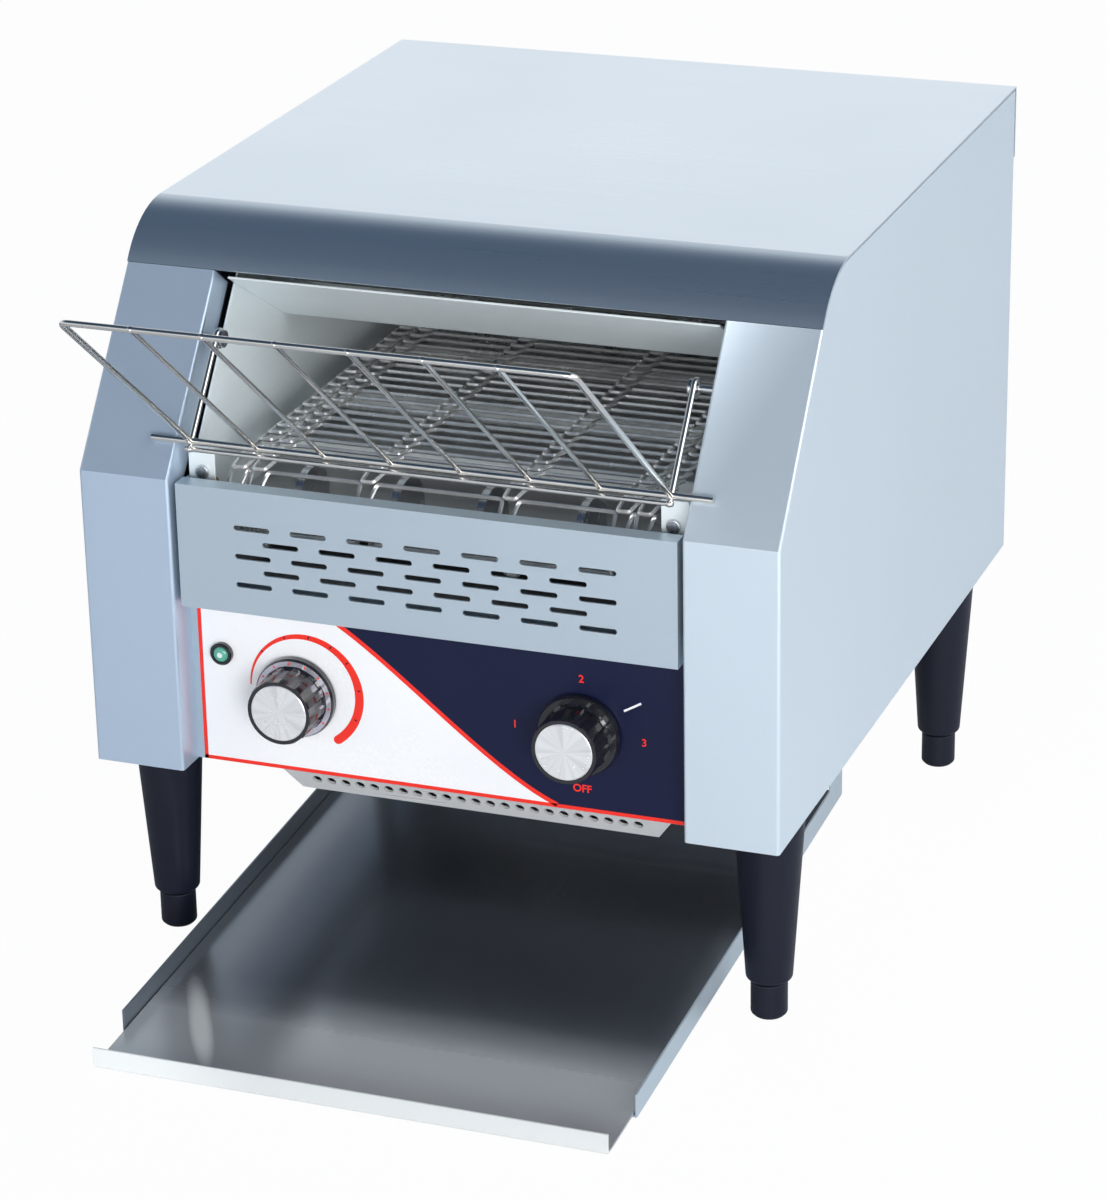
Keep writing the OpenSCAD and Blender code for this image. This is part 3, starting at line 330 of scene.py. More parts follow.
# ---- Top cover -------------------------------------------------------------
# The brow, the flat top and the rear flange are bent from one brushed sheet,
# with the brushing across the toaster.
top_grain = (5, 1400, 1400)
steel_top = sheet_metal("stainless_top", (0.81, 0.89, 0.95), (0.77, 0.86, 0.92),
                        top_grain, rough=(0.26, 0.32), cloud_size=wide_cloud, bump=faint_lines,
                        metallic=0.95)
from_solid("top_cover", "top_sheet", steel_top, edge=0.0004)

# ---- Rear panel and base ---------------------------------------------------
# Plain flat sheets: the back is screwed on and has three columns of cooling
# slots; the zinc-grey base has the toast's opening, the fan's and the studs'.
brushed_across = (5, 60, 1400)
sheet_rough = (0.30, 0.38)
steel_rear = sheet_metal("stainless_rear", (0.62, 0.70, 0.78), (0.58, 0.66, 0.74),
                         brushed_across, rough=sheet_rough, cloud_size=wide_cloud, bump=faint_lines,
                         metallic=0.6)
# A dark zinc grey: partly the zinc's own grey, partly painted shade under the casing; on the electrics shield
# it is painted shade behind the vent slots.
zinc_and_shade = sheet_metal("zinc_and_shade", (0.30, 0.31, 0.32), (0.22, 0.23, 0.24),
                        (90, 90, 90), rough=(0.4, 0.55), cloud_size=25, bump=0.03)
from_solid("rear_panel", "rear_sheet", steel_rear)
from_solid("base_plate", "base_sheet", zinc_and_shade)

# ---- Vent panel and control plate ------------------------------------------
# A folded front sheet with five rows of punched slots, which let the cooling
# air out over the controls, and the flat steel plate that holds the controls.
thin_edge = 0.0002
steel_front = sheet_metal("stainless_front", (0.55, 0.64, 0.71), (0.52, 0.61, 0.68),
                          brushed_across, rough=sheet_rough, cloud_size=wide_cloud, bump=faint_lines,
                          metallic=0.6)
from_solid("vent_panel", "vent_sheet", steel_front, edge=thin_edge)
from_solid("control_panel", "control_sheet", steel_front, edge=thin_edge)

# ---- Printed film ----------------------------------------------------------
# A polycarbonate film glued to the control panel: white on the left, navy on
# the right, with a red line between them, a red edge, and the knobs' scales.
film_low, film_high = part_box("panel_overlay")
ink_lift = 0.00004


def plain_plastic(name, colour, rough, cloud_size, coat=0.0, bump=0.03):
    """Moulded or printed plastic: nearly even colour, gloss that varies softly."""
    deep = [0.96 * c for c in colour]
    material = sheet_metal(name, colour, deep,
                           (900, 900, 900), rough=rough, cloud_size=cloud_size, bump=bump, metallic=0)
    material.node_tree.nodes["Principled BSDF"].inputs["Coat Weight"].default_value = coat
    return material


film_white = plain_plastic("film_white", (0.94, 0.94, 0.95), rough=(0.22, 0.3), cloud_size=30, bump=0.01)
ink_red = plain_plastic("ink_red", (0.93, 0.025, 0.01), rough=(0.3, 0.4), cloud_size=60, bump=0.01)
ink_navy = plain_plastic("ink_navy", (0.006, 0.009, 0.040), rough=(0.3, 0.42), cloud_size=30, bump=0.02)
ink_navy.node_tree.nodes["Principled BSDF"].inputs["Specular IOR Level"].default_value = 0.25
from_solid("panel_overlay", "printed_film", film_white, edge=0)


def on_film(piece, name, material, lift):
    """Stands a flat drawing up against the film's face, as a thin layer of ink."""
    piece.name = name
    piece.rotation_euler = (math.pi / 2, 0, 0)
    piece.location = (0, film_low.y - lift, 0)
    bpy.ops.object.transform_apply(location=True, rotation=True, scale=True)
    piece.data.materials.clear()
    piece.data.materials.append(material)
    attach(piece, "casing")


def printed(name, material, loops, lift=2 * ink_lift):
    """A filled flat shape inside the first loop of (x, z) points, less the other loops."""
    bpy.ops.object.select_all(action="DESELECT")
    bpy.ops.curve.primitive_bezier_circle_add(location=(0, 0, 0))
    drawing = bpy.context.object
    drawing.data.splines.clear()
    drawing.data.dimensions = "2D"
    drawing.data.fill_mode = "BOTH"
    drawing.data.extrude = ink_lift / 2
    for loop in loops:
        line = drawing.data.splines.new("POLY")
        line.points.add(len(loop) - 1)
        for point, (x, z) in zip(line.points, loop):
            point.co = (x, z, 0, 1)
        line.use_cyclic_u = True
    bpy.ops.object.convert(target="MESH")
    on_film(bpy.context.object, name, material, lift)


def bezier(a, b, c, d, steps):
    """Points along one cubic curve from a to d."""
    points = []
    for i in range(steps + 1):
        t = i / steps
        s = 1 - t
        shares = (s ** 3, 3 * s * s * t, 3 * s * t * t, t ** 3)
        points.append(tuple(sum(share * p[k] for share, p in zip(shares, (a, b, c, d))) for k in (0, 1)))
    return points


def band(points, width):
    """The outline of a line of that width, or of a width for each point."""
    left_edge, right_edge = [], []
    for i, (x, z) in enumerate(points):
        (ax, az), (bx, bz) = points[max(i - 1, 0)], points[min(i + 1, len(points) - 1)]
        length = math.hypot(bx - ax, bz - az)
        half = (width[i] if isinstance(width, list) else width) / 2
        nx, nz = (az - bz) / length * half, (bx - ax) / length * half
        left_edge.append((x + nx, z + nz))
        right_edge.append((x - nx, z - nz))
    return left_edge + right_edge[::-1]


field_top = film_high.z
field_low = film_low.z
field_edge = film_high.x
divide_top = (-0.064, field_top)
divide_foot = (0.0625, field_low + 0.0016)
divide_pulls = ((-0.029, 0.186), (0.0255, 0.128))
divide_steps = 48
divide = bezier(divide_top, *divide_pulls, divide_foot, divide_steps)
red_line = 0.0024
edge_line = 0.0020
printed("film_navy", ink_navy, [divide + [(field_edge, field_low + edge_line), (field_edge, field_top)]])
printed("film_divide", ink_red, [band(divide, red_line)], 3 * ink_lift)
for side, strip_edge, strip_top in (("low", field_edge, field_low + edge_line),
                                    ("left", -field_edge + edge_line, field_top)):
    printed("film_edge_" + side, ink_red, [[(-field_edge, field_low), (strip_edge, field_low),
                                            (strip_edge, strip_top), (-field_edge, strip_top)]], 3 * ink_lift)

# the browning scale: a crescent that grows from a hairline to a broad end
speed_low, speed_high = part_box("speed_knob")
mode_low, mode_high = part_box("mode_knob")
speed_x = (speed_low.x + speed_high.x) / 2
mode_x = (mode_low.x + mode_high.x) / 2
knob_height = (speed_low.z + speed_high.z) / 2
crescent_x = speed_x + 0.0040
crescent_z = knob_height + 0.0025
crescent_radius = 0.0299
crescent_from, crescent_to = 180, -55
crescent_steps = 60
crescent_full = 45
hairline = 0.0007
crescent_growth = 0.0040
end_radius = 0.0023


def on_circle(x, z, radius, angle):
    """The (x, z) point at that angle of a circle that faces the front."""
    return (x + radius * math.cos(angle), z + radius * math.sin(angle))


sweep = [math.radians(crescent_from + (crescent_to - crescent_from) * i / crescent_steps)
         for i in range(crescent_steps + 1)]
crescent_line = [on_circle(crescent_x, crescent_z, crescent_radius, a) for a in sweep]
crescent_width = [hairline + crescent_growth * min(1, i / crescent_full) for i in range(crescent_steps + 1)]
end_turns = [sweep[-1] - math.radians(t) for t in range(20, 170, 15)]
crescent_end = [on_circle(*crescent_line[-1], end_radius, a) for a in end_turns]
outline = band(crescent_line, crescent_width)
crescent = outline[:crescent_steps + 1] + crescent_end + outline[crescent_steps + 1:]
printed("scale_crescent", ink_red, [crescent], 2 * ink_lift)
tick_angles = (140, 110, 84, 60, 38, 8, -24)
tick_inside = crescent_radius - 0.0006
tick_outside = crescent_radius + 0.0008
for i, angle in enumerate(tick_angles):
    stroke = [on_circle(crescent_x, crescent_z, r, math.radians(angle)) for r in (tick_inside, tick_outside)]
    printed("scale_tick_" + str(i), ink_navy, [band(stroke, hairline)], 4 * ink_lift)
# A short white dash on the navy field at the mode knob's upper right.
mode_dash_line = [(0.0985, 0.1701), (0.1075, 0.1753)]
mode_dash_width = 0.0011
printed("mode_white_dash", film_white, [band(mode_dash_line, mode_dash_width)], 3 * ink_lift)

# plain words and figures round the mode knob
letter_size = 0.00567
letter_weight = 0.00012
mode_labels = (("OFF", 0.0760, 0.1248), ("1", 0.0408, 0.1552), ("2", 0.0764, 0.1842), ("3", 0.1089, 0.1542))
for i, (word, x, z) in enumerate(mode_labels):
    bpy.ops.object.select_all(action="DESELECT")
    bpy.ops.object.text_add(location=(0, 0, 0))
    lettering = bpy.context.object
    lettering.data.body = word
    lettering.data.size = letter_size
    lettering.data.align_x = "CENTER"
    lettering.data.align_y = "CENTER"
    lettering.data.extrude = ink_lift / 2
    lettering.data.offset = letter_weight
    bpy.ops.object.convert(target="MESH")
    lettering = bpy.context.object
    for corner in lettering.data.vertices:
        corner.co.x += x
        corner.co.y += z
    on_film(lettering, "mode_label_" + str(i), ink_red, 3 * ink_lift)

# ---- Knobs -----------------------------------------------------------------
# Moulded black knobs with a skirt, a fluted grip and a spun aluminium cap set
# in the face; the speed knob's skirt carries a silver ring with red marks.
knob_back = speed_high.y
skirt_front = knob_back - 0.005
grip_front = speed_low.y
skirt_radius = 0.0215
grip_foot = 0.0182
grip_radius = 0.0175
recess_radius = 0.0151
recess_deep = 0.0010
disc_radius = 0.0150
knob_profile = [
    (skirt_radius - 0.0006, knob_back), (skirt_radius, knob_back - 0.0008),
    (skirt_radius, skirt_front + 0.0012), (skirt_radius - 0.0007, skirt_front),
    (grip_foot, skirt_front), (grip_foot - 0.0006, skirt_front - 0.0010),
    (grip_radius, grip_front + 0.0012), (grip_radius - 0.0006, grip_front),
    (recess_radius, grip_front), (recess_radius, grip_front + recess_deep)]
disc_profile = [
    (disc_radius - 0.0001, grip_front + recess_deep), (disc_radius, grip_front + 0.0001),
    (disc_radius - 0.0004, grip_front - 0.0002)]
flute_count = 12
flute_deep = 0.05
knob_flutes = (flute_count, flute_deep, grip_front + 0.001, skirt_front - 0.0005)
round_angle = math.radians(30)


def turned(name, axis_x, axis_z, profile, material, sides=96, flutes=None):
    """A round piece on the Y axis: its profile goes from the back face to the front one."""
    radius, y = profile[0]
    bpy.ops.object.select_all(action="DESELECT")
    bpy.ops.mesh.primitive_circle_add(vertices=sides, radius=radius, fill_type="NGON",
                                      location=(axis_x, y, axis_z), rotation=(math.pi / 2, 0, 0))
    piece = bpy.context.object
    piece.name = name
    bpy.ops.object.transform_apply(location=True, rotation=True, scale=True)
    bpy.ops.object.mode_set(mode="EDIT")
    bpy.context.tool_settings.mesh_select_mode = (False, False, True)
    bpy.ops.mesh.select_all(action="SELECT")
    for next_radius, next_y in profile[1:]:
        bpy.ops.mesh.extrude_region_move(TRANSFORM_OT_translate={"value": (0, next_y - y, 0)})
        share = next_radius / radius
        bpy.ops.transform.resize(value=(share, 1, share), center_override=(axis_x, next_y, axis_z))
        radius, y = next_radius, next_y
    bpy.ops.mesh.select_all(action="SELECT")
    bpy.ops.mesh.normals_make_consistent(inside=False)
    bpy.ops.mesh.select_all(action="DESELECT")
    bpy.ops.object.mode_set(mode="OBJECT")
    if flutes:
        count, depth, y_from, y_to = flutes
        step = sides // count
        for corner in piece.data.vertices:
            turn = math.atan2(corner.co.z - axis_z, corner.co.x - axis_x) / (2 * math.pi) * sides
            corner.select = y_from < corner.co.y < y_to and round(turn) % step < step // 2
        bpy.ops.object.mode_set(mode="EDIT")
        bpy.context.tool_settings.mesh_select_mode = (True, False, False)
        bpy.ops.transform.resize(value=(1 - depth, 1, 1 - depth), center_override=(axis_x, y, axis_z))
        bpy.ops.object.mode_set(mode="OBJECT")
    piece.data.materials.append(material)
    bpy.ops.object.shade_smooth_by_angle(angle=round_angle)
    return piece


knob_black = plain_plastic("knob_black", (0.012, 0.012, 0.016), rough=(0.12, 0.24), cloud_size=60,
                           coat=0.5, bump=0.02)
knob_silver = sheet_metal("knob_silver_ring", (0.80, 0.78, 0.86), (0.62, 0.60, 0.70),
                          (400, 400, 400), rough=(0.2, 0.32), metallic=0.7)


def spun_aluminium(name, axis_x, axis_z):
    """Spun disc: painted highlights that fan out from the middle, set in the base colour by angle."""
    material = sheet_metal(name, (0.90, 0.90, 0.91), (0.80, 0.80, 0.82),
                           (500, 500, 500), rough=(0.2, 0.3), cloud_size=60, metallic=0.6)
    tree = material.node_tree
    body = tree.nodes["Principled BSDF"]
    place = tree.nodes.new("ShaderNodeTexCoord")
    centred = tree.nodes.new("ShaderNodeMapping")
    centred.inputs["Location"].default_value = (-axis_x, 0, -axis_z)
    turned_flat = tree.nodes.new("ShaderNodeSeparateXYZ")
    angle = tree.nodes.new("ShaderNodeMath")
    angle.operation = "ARCTAN2"
    # the bright fans are painted highlights in the base colour
    highlight_fans = tree.nodes.new("ShaderNodeTexNoise")
    highlight_fans.noise_dimensions = "1D"
    highlight_fans.inputs["Scale"].default_value = 2.6
    highlight_fans.inputs["Detail"].default_value = 3
    shade = tree.nodes.new("ShaderNodeValToRGB")
    shade.color_ramp.elements[0].position = 0.36
    shade.color_ramp.elements[0].color = (0.80, 0.80, 0.80, 1)
    shade.color_ramp.elements[1].position = 0.56
    shade.color_ramp.elements[1].color = (0.97, 0.97, 0.96, 1)
    tree.links.new(place.outputs["Object"], centred.inputs["Vector"])
    tree.links.new(centred.outputs["Vector"], turned_flat.inputs[0])
    tree.links.new(turned_flat.outputs["X"], angle.inputs[0])
    tree.links.new(turned_flat.outputs["Z"], angle.inputs[1])
    tree.links.new(angle.outputs[0], highlight_fans.inputs["W"])
    tree.links.new(highlight_fans.outputs[0], shade.inputs["Fac"])
    tree.links.new(shade.outputs["Color"], body.inputs["Base Color"])
    return material


for knob_name, knob_x in (("speed", speed_x), ("mode", mode_x)):
    knob = turned(knob_name + "_knob_body", knob_x, knob_height, knob_profile, knob_black, flutes=knob_flutes)
    ride_like(knob, knob_name + "_knob")
    disc_metal = spun_aluminium(knob_name + "_disc_metal", knob_x, knob_height)
    cap = turned(knob_name + "_knob_disc", knob_x, knob_height, disc_profile, disc_metal)
    ride_like(cap, knob_name + "_knob_cap")

# the speed knob's silver ring and its red marks, printed on the skirt
ring_thin = 0.0002
ring_outer = 0.0206
ring_inner = 0.0183
ring = turned("speed_knob_ring", speed_x, knob_height, [
    (ring_outer, skirt_front + ring_thin), (ring_outer, skirt_front - ring_thin),
    (ring_inner, skirt_front - ring_thin)], knob_silver)
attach(ring, "speed_knob")
mark_count = 10
mark_first, mark_step = -35, 26
mark_circle = 0.0194
mark_size = (0.0014, 0.0002, 0.0007)
mark_y = skirt_front - 0.00025
for i in range(mark_count):
    a = math.radians(mark_first + i * mark_step)
    mark_x, mark_z = on_circle(speed_x, knob_height, mark_circle, a)
    bpy.ops.object.select_all(action="DESELECT")
    bpy.ops.mesh.primitive_cube_add(size=1, location=(mark_x, mark_y, mark_z), rotation=(0, -a, 0))
    mark = bpy.context.object
    mark.name = "speed_ring_mark_" + str(i)
    mark.scale = mark_size
    bpy.ops.object.transform_apply(location=True, rotation=True, scale=True)
    mark.data.materials.append(ink_red)
    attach(mark, "speed_knob")

# ---- Pilot lamp ------------------------------------------------------------
# A snap-in lamp: a moulded black bezel whose barrel goes through the film and
# the plate, and a domed green lens with a bright core.
lamp_low, lamp_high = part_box("pilot_lamp_ring")
lamp_x = -0.118
lamp_height = 0.173
barrel_radius = 0.0042
bezel_radius = 0.0060
lens_radius = 0.0040
core_radius = 0.0016
bezel = turned("lamp_bezel", lamp_x, lamp_height, [
    (barrel_radius, lamp_high.y), (barrel_radius, film_low.y), (bezel_radius, film_low.y),
    (bezel_radius, lamp_low.y + 0.0006), (bezel_radius - 0.0006, lamp_low.y),
    (lens_radius + 0.0004, lamp_low.y), (lens_radius + 0.0001, lamp_low.y + 0.0008)], knob_black, 64)
ride_like(bezel, "pilot_lamp_ring")
lens_green = plain_plastic("lens_green", (0.10, 0.42, 0.30), rough=(0.08, 0.16), cloud_size=200, coat=0.6,
                           bump=0.02)
lens_core = plain_plastic("lens_core", (0.75, 0.88, 0.82), rough=(0.1, 0.2), cloud_size=200, coat=0.6,
                          bump=0.02)
lens = turned("lamp_lens", lamp_x, lamp_height, [
    (lens_radius, lamp_low.y + 0.003), (lens_radius, lamp_low.y + 0.0004),
    (lens_radius - 0.0004, lamp_low.y - 0.0002), (lens_radius - 0.0012, lamp_low.y - 0.0006),
    (core_radius, lamp_low.y - 0.0008)], lens_green, 48)
ride_like(lens, "pilot_lamp_lens")
core = turned("lamp_core", lamp_x, lamp_height, [
    (core_radius, lamp_low.y - 0.0006), (core_radius - 0.0002, lamp_low.y - 0.0010)], lens_core, 32)
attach(core, "casing")

# ---- Liners, deflector and reflectors --------------------------------------
# Pale matt inner sheets close the toasting tunnel. The upper reflector and the
# chute are bright, the lower reflector is a darker grey, and a shield keeps the
# heat from the electrics; its dark zinc grey is painted shade behind the vent slots.
rolled_across = (4, 40, 300)
soft_lines = 0.02
steel_liner = sheet_metal("stainless_liner", (0.90, 0.97, 0.99), (0.80, 0.87, 0.88),
                          (30, 4, 500), rough=(0.30, 0.42), cloud_size=9, bump=soft_lines, metallic=0.1)
steel_bright = sheet_metal("bright_sheet", (0.92, 0.92, 0.93), (0.84, 0.84, 0.86),
                           rolled_across, rough=(0.16, 0.26), cloud_size=10, bump=soft_lines,
                           metallic=0.7)
for side in ("left", "right"):
    from_solid("liner_" + side, "liner_sheet_" + side, steel_liner)
from_solid("front_deflector", "deflector_sheet", steel_liner)
# The lower reflector is a plain grey, darker than the upper one.
steel_lower_grey = sheet_metal("lower_grey_sheet", (0.62, 0.62, 0.62), (0.52, 0.52, 0.52),
                            rolled_across, rough=(0.20, 0.30), cloud_size=10, bump=soft_lines,
                            metallic=0.8)
for node, name, metal in (
        ("upper_reflector", "upper_mirror", steel_bright), ("lower_reflector", "lower_mirror", steel_lower_grey),
        ("toast_chute", "chute_sheet", steel_bright)):
    from_solid(node, name, metal)
# The shield's dark zinc grey is painted shade, which shows through the vent slots.
from_solid("electrics_shield", "shield_sheet", zinc_and_shade)

# ---- Heaters ---------------------------------------------------------------
# Satin quartz tubes, three above the belt and three between its two runs, held
# in ceramic caps outside the liners.
quartz = plain_plastic("satin_quartz", (0.93, 0.93, 0.92), rough=(0.12, 0.22), cloud_size=30, coat=0.4,
                       bump=0.01)
ceramic = plain_plastic("ceramic_caps", (0.80, 0.76, 0.68), rough=(0.6, 0.75), cloud_size=120, bump=0.15)
from_solid("upper_heaters", "upper_tubes", quartz, edge=0.0006)
from_solid("lower_heaters", "lower_tubes", quartz, edge=0.0006)
from_solid("heater_holders", "tube_caps", ceramic, edge=0.0005)

# ---- Belt ------------------------------------------------------------------
# A ladder belt of bright spring wire. Each cross wire is bent forward at six
# places and hooks over the wire in front; all wires are alike.
belt_pitch = 0.011
belt_teeth = 12
belt_half = 0.113
belt_radius = belt_pitch / (2 * math.sin(math.pi / belt_teeth))
belt_wire = 0.00112
link_columns = (-0.1075, -0.0965, -0.0377, 0.0377, 0.0965, 0.1075)
link_half = 0.0032
link_slope = 0.0012
hook_reach = 0.0016
hook_rise = 0.0021
wire_bend = 0.0022
wire_weld = 0.000005
wire_angle = math.radians(50)
corner_limit = 2.1
drive_low, drive_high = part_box("drive_shaft")
idler_low, idler_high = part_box("idler_shaft")
drive_y = (drive_low.y + drive_high.y) / 2
idler_y = (idler_low.y + idler_high.y) / 2
shaft_z = (drive_low.z + drive_high.z) / 2
run_wires = round((idler_y - drive_y) / belt_pitch)


def rounded(points, radius, steps=3):
    """The same path with each inner corner turned into a short curve."""
    path = [Vector(points[0])]
    for before, corner, after in zip(points, points[1:], points[2:]):
        before, corner, after = Vector(before), Vector(corner), Vector(after)
        reach = min(radius, (before - corner).length / corner_limit, (after - corner).length / corner_limit)
        start = corner + (before - corner).normalized() * reach
        end = corner + (after - corner).normalized() * reach
        for i in range(steps + 1):
            t = i / steps
            path.append((1 - t) ** 2 * start + 2 * t * (1 - t) * corner + t * t * end)
    return path + [Vector(points[-1])]


def wire_mesh(name, path, radius, sides):
    """A round wire along the path, as a closed mesh."""
    bpy.ops.object.select_all(action="DESELECT")
    bpy.ops.curve.primitive_nurbs_path_add(location=(0, 0, 0))
    wire = bpy.context.object
    wire.name = name
    wire.data.splines.clear()
    line = wire.data.splines.new("POLY")
    line.points.add(len(path) - 1)
    for point, place in zip(line.points, path):
        point.co = (*place, 1)
    wire.data.dimensions = "3D"
    wire.data.bevel_depth = radius
    wire.data.bevel_resolution = max(0, sides // 2 - 2)
    wire.data.use_fill_caps = True
    bpy.ops.object.convert(target="MESH")
    wire = bpy.context.object
    bpy.ops.object.mode_set(mode="EDIT")
    bpy.ops.mesh.select_all(action="SELECT")
    bpy.ops.mesh.remove_doubles(threshold=wire_weld)
    bpy.ops.mesh.normals_make_consistent(inside=False)
    bpy.ops.object.mode_set(mode="OBJECT")
    bpy.ops.object.shade_smooth_by_angle(angle=wire_angle)
    return wire


def joined(pieces, name, material):
    """Several loose pieces as one object."""
    bpy.ops.object.select_all(action="DESELECT")
    for piece in pieces:
        piece.select_set(True)
    bpy.context.view_layer.objects.active = pieces[0]
    if len(pieces) > 1:
        bpy.ops.object.join()
    whole = bpy.context.object
    whole.name = name
    whole.data.materials.clear()
    whole.data.materials.append(material)
    return whole


def cross_wire(dip):
    """One wire at the origin; its hooks reach towards -Y and dip by that angle."""
    path = [(-belt_half, 0, 0)]
    for x in link_columns:
        reach = belt_pitch + hook_reach
        tip_y = -reach * math.cos(dip) - hook_rise * math.sin(dip)
        tip_z = -reach * math.sin(dip) + hook_rise * math.cos(dip)
        path += [(x - link_half - link_slope, 0, 0), (x - link_half, tip_y, tip_z),
                 (x + link_half, tip_y, tip_z), (x + link_half + link_slope, 0, 0)]
    path.append((belt_half, 0, 0))
    return wire_mesh("cross_wire", rounded(path, wire_bend), belt_wire, 6)


def placed_wire(model, y, z, turn):
    """A copy of a wire with its own mesh, turned about X and moved to its place."""
    wire = model.copy()
    wire.data = model.data.copy()
    wire.data.transform(Matrix.Translation((0, y, z)) @ Matrix.Rotation(turn, 4, "X"))
    bpy.context.scene.collection.objects.link(wire)
    return wire


belt_steel = sheet_metal("belt_wire", (0.98, 0.98, 0.97), (0.56, 0.55, 0.54),
                         (160, 160, 160), rough=(0.14, 0.30), cloud_size=45, metallic=0.7)
wire_turn = 2 * math.pi / belt_teeth
flat_wire = cross_wire(0)
dipped_wire = cross_wire(wire_turn / 2)
top_wires = [placed_wire(flat_wire if i else dipped_wire, drive_y + i * belt_pitch, shaft_z + belt_radius, 0)
             for i in range(run_wires + 1)]
low_wires = [placed_wire(flat_wire if i < run_wires else dipped_wire, drive_y + i * belt_pitch,
                         shaft_z - belt_radius, math.pi) for i in range(run_wires + 1)]
front_wires = [placed_wire(dipped_wire, drive_y - belt_radius * math.sin(i * wire_turn),
                           shaft_z + belt_radius * math.cos(i * wire_turn), i * wire_turn)
               for i in range(1, belt_teeth // 2)]
rear_wires = [placed_wire(dipped_wire, idler_y + belt_radius * math.sin(i * wire_turn),
                          shaft_z + belt_radius * math.cos(i * wire_turn), -i * wire_turn)
              for i in range(1, belt_teeth // 2)]
for wires, node, name in (
        (top_wires, "belt_top_run", "belt_wires_top"),
        (low_wires, "belt_bottom_run", "belt_wires_low"),
        (front_wires, "belt_front_wrap", "belt_wires_front"),
        (rear_wires, "belt_rear_wrap", "belt_wires_rear")):
    ride_like(joined(wires, name, belt_steel), node)
for model in (flat_wire, dipped_wire):
    bpy.data.objects.remove(model)

# ---- Shafts, sprockets, chain and motor ------------------------------------
# Ground shafts in bronze bushes, toothed discs under the belt, and a roller
# chain down to the gear motor, all machined or pressed, as are the rack's
# studs and the casing's screws.
steel_machined = sheet_metal("machined_steel", (0.66, 0.67, 0.68), (0.50, 0.51, 0.53),
                             (900, 60, 60), rough=(0.2, 0.32), cloud_size=20)
bronze = sheet_metal("bush_bronze", (0.62, 0.42, 0.20), (0.46, 0.30, 0.14),
                     (600, 600, 600), rough=(0.35, 0.5), cloud_size=60, bump=0.15)
chain_metal = sheet_metal("oiled_chain", (0.16, 0.15, 0.15), (0.07, 0.07, 0.075),
                          (200, 200, 200), rough=(0.25, 0.45), cloud_size=80, bump=0.1)
motor_zinc = sheet_metal("motor_zinc", (0.52, 0.53, 0.54), (0.40, 0.41, 0.43),
                         (30, 300, 300), rough=(0.35, 0.5), cloud_size=30, bump=0.08)
for node, slot, material, edge in (
        ("drive_shaft", "bright_steel", steel_machined, 0.0005),
        ("idler_shaft", "bright_steel", steel_machined, 0.0005),
        ("drive_sprockets", "bright_steel", steel_machined, 0.0003),
        ("idler_sprockets", "bright_steel", steel_machined, 0.0003),
        ("shaft_chain_sprocket", "bright_steel", steel_machined, 0.0003),
        ("motor_output", "bright_steel", steel_machined, 0.0003),
        ("shaft_bushes", "bronze", bronze, 0.0003),
        ("drive_chain", "chain_steel", chain_metal, 0.0004),
        ("gear_motor", "motor_paint", motor_zinc, 0.001),
        ("rack_studs", "bright_steel", steel_machined, 0.0004),
        ("casing_screws", "bright_steel", steel_machined, 0.0008)):
    from_solid(node, node + "_finished", material, edge=edge)

# ---- Fan, switches and cable gland -----------------------------------------
# Moulded plastic pieces inside the casing, the steel spindles of the two
# switches, and the gland below the casing where a supply cord would leave.
moulded_black = plain_plastic("moulded_black", (0.028, 0.028, 0.034), rough=(0.42, 0.58), cloud_size=90,
                              bump=0.12)
moulded_cream = plain_plastic("moulded_cream", (0.78, 0.75, 0.66), rough=(0.4, 0.5), cloud_size=90,
                              bump=0.05)
for node, slot, material in (
        ("fan_frame", "control_plastic", moulded_black),
        ("fan_rotor", "control_plastic", moulded_black),
        ("speed_regulator", "control_plastic", moulded_black),
        ("mode_switch", "control_plastic", moulded_black),
        ("speed_spindle", "bright_steel", steel_machined),
        ("mode_spindle", "bright_steel", steel_machined),
        ("terminal_block", "terminal_plastic", moulded_cream),
        ("cable_gland", "black_plastic", moulded_black)):
    from_solid(node, node + "_finished", material, edge=0.0004)

# ---- Pan -------------------------------------------------------------------
# A bright tub, drawn from thin sheet and punched with rows of round holes. It
# hangs below the base and guards the fan.
steel_pan = sheet_metal("pan_sheet", (0.90, 0.91, 0.91), (0.84, 0.85, 0.85),
                        rolled_across, rough=(0.25, 0.35), cloud_size=10, bump=soft_lines, metallic=0.3)
from_solid("underside_pan", "punched_pan", steel_pan, edge=thin_edge)

# ---- Legs and feet ---------------------------------------------------------
# Tapered mouldings in satin black with a faint blue cast, bolted under the
# casing's corners, each with a screw-in foot.
leg_black = plain_plastic("leg_black", (0.006, 0.008, 0.018), rough=(0.34, 0.5), cloud_size=60, bump=0.08)
leg_black.node_tree.nodes["Principled BSDF"].inputs["Specular IOR Level"].default_value = 0.3
for end in ("front", "rear"):
    for side in ("left", "right"):
        for part, edge in (("leg", 0.001), ("foot", 0.0007)):
            from_solid(f"{part}_{end}_{side}", f"{part}_moulding_{end}_{side}", leg_black,
                       edge=edge, steps=3)

# ---- Tray and guides -------------------------------------------------------
# A polished sheet with an upturned lip slides on the floor flanges of two
# thin guides that hang from the base.
tray_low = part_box("tray")[0]
lip_fold = 0.0012
lip_thick = 0.001
lip_shortest = 0.1
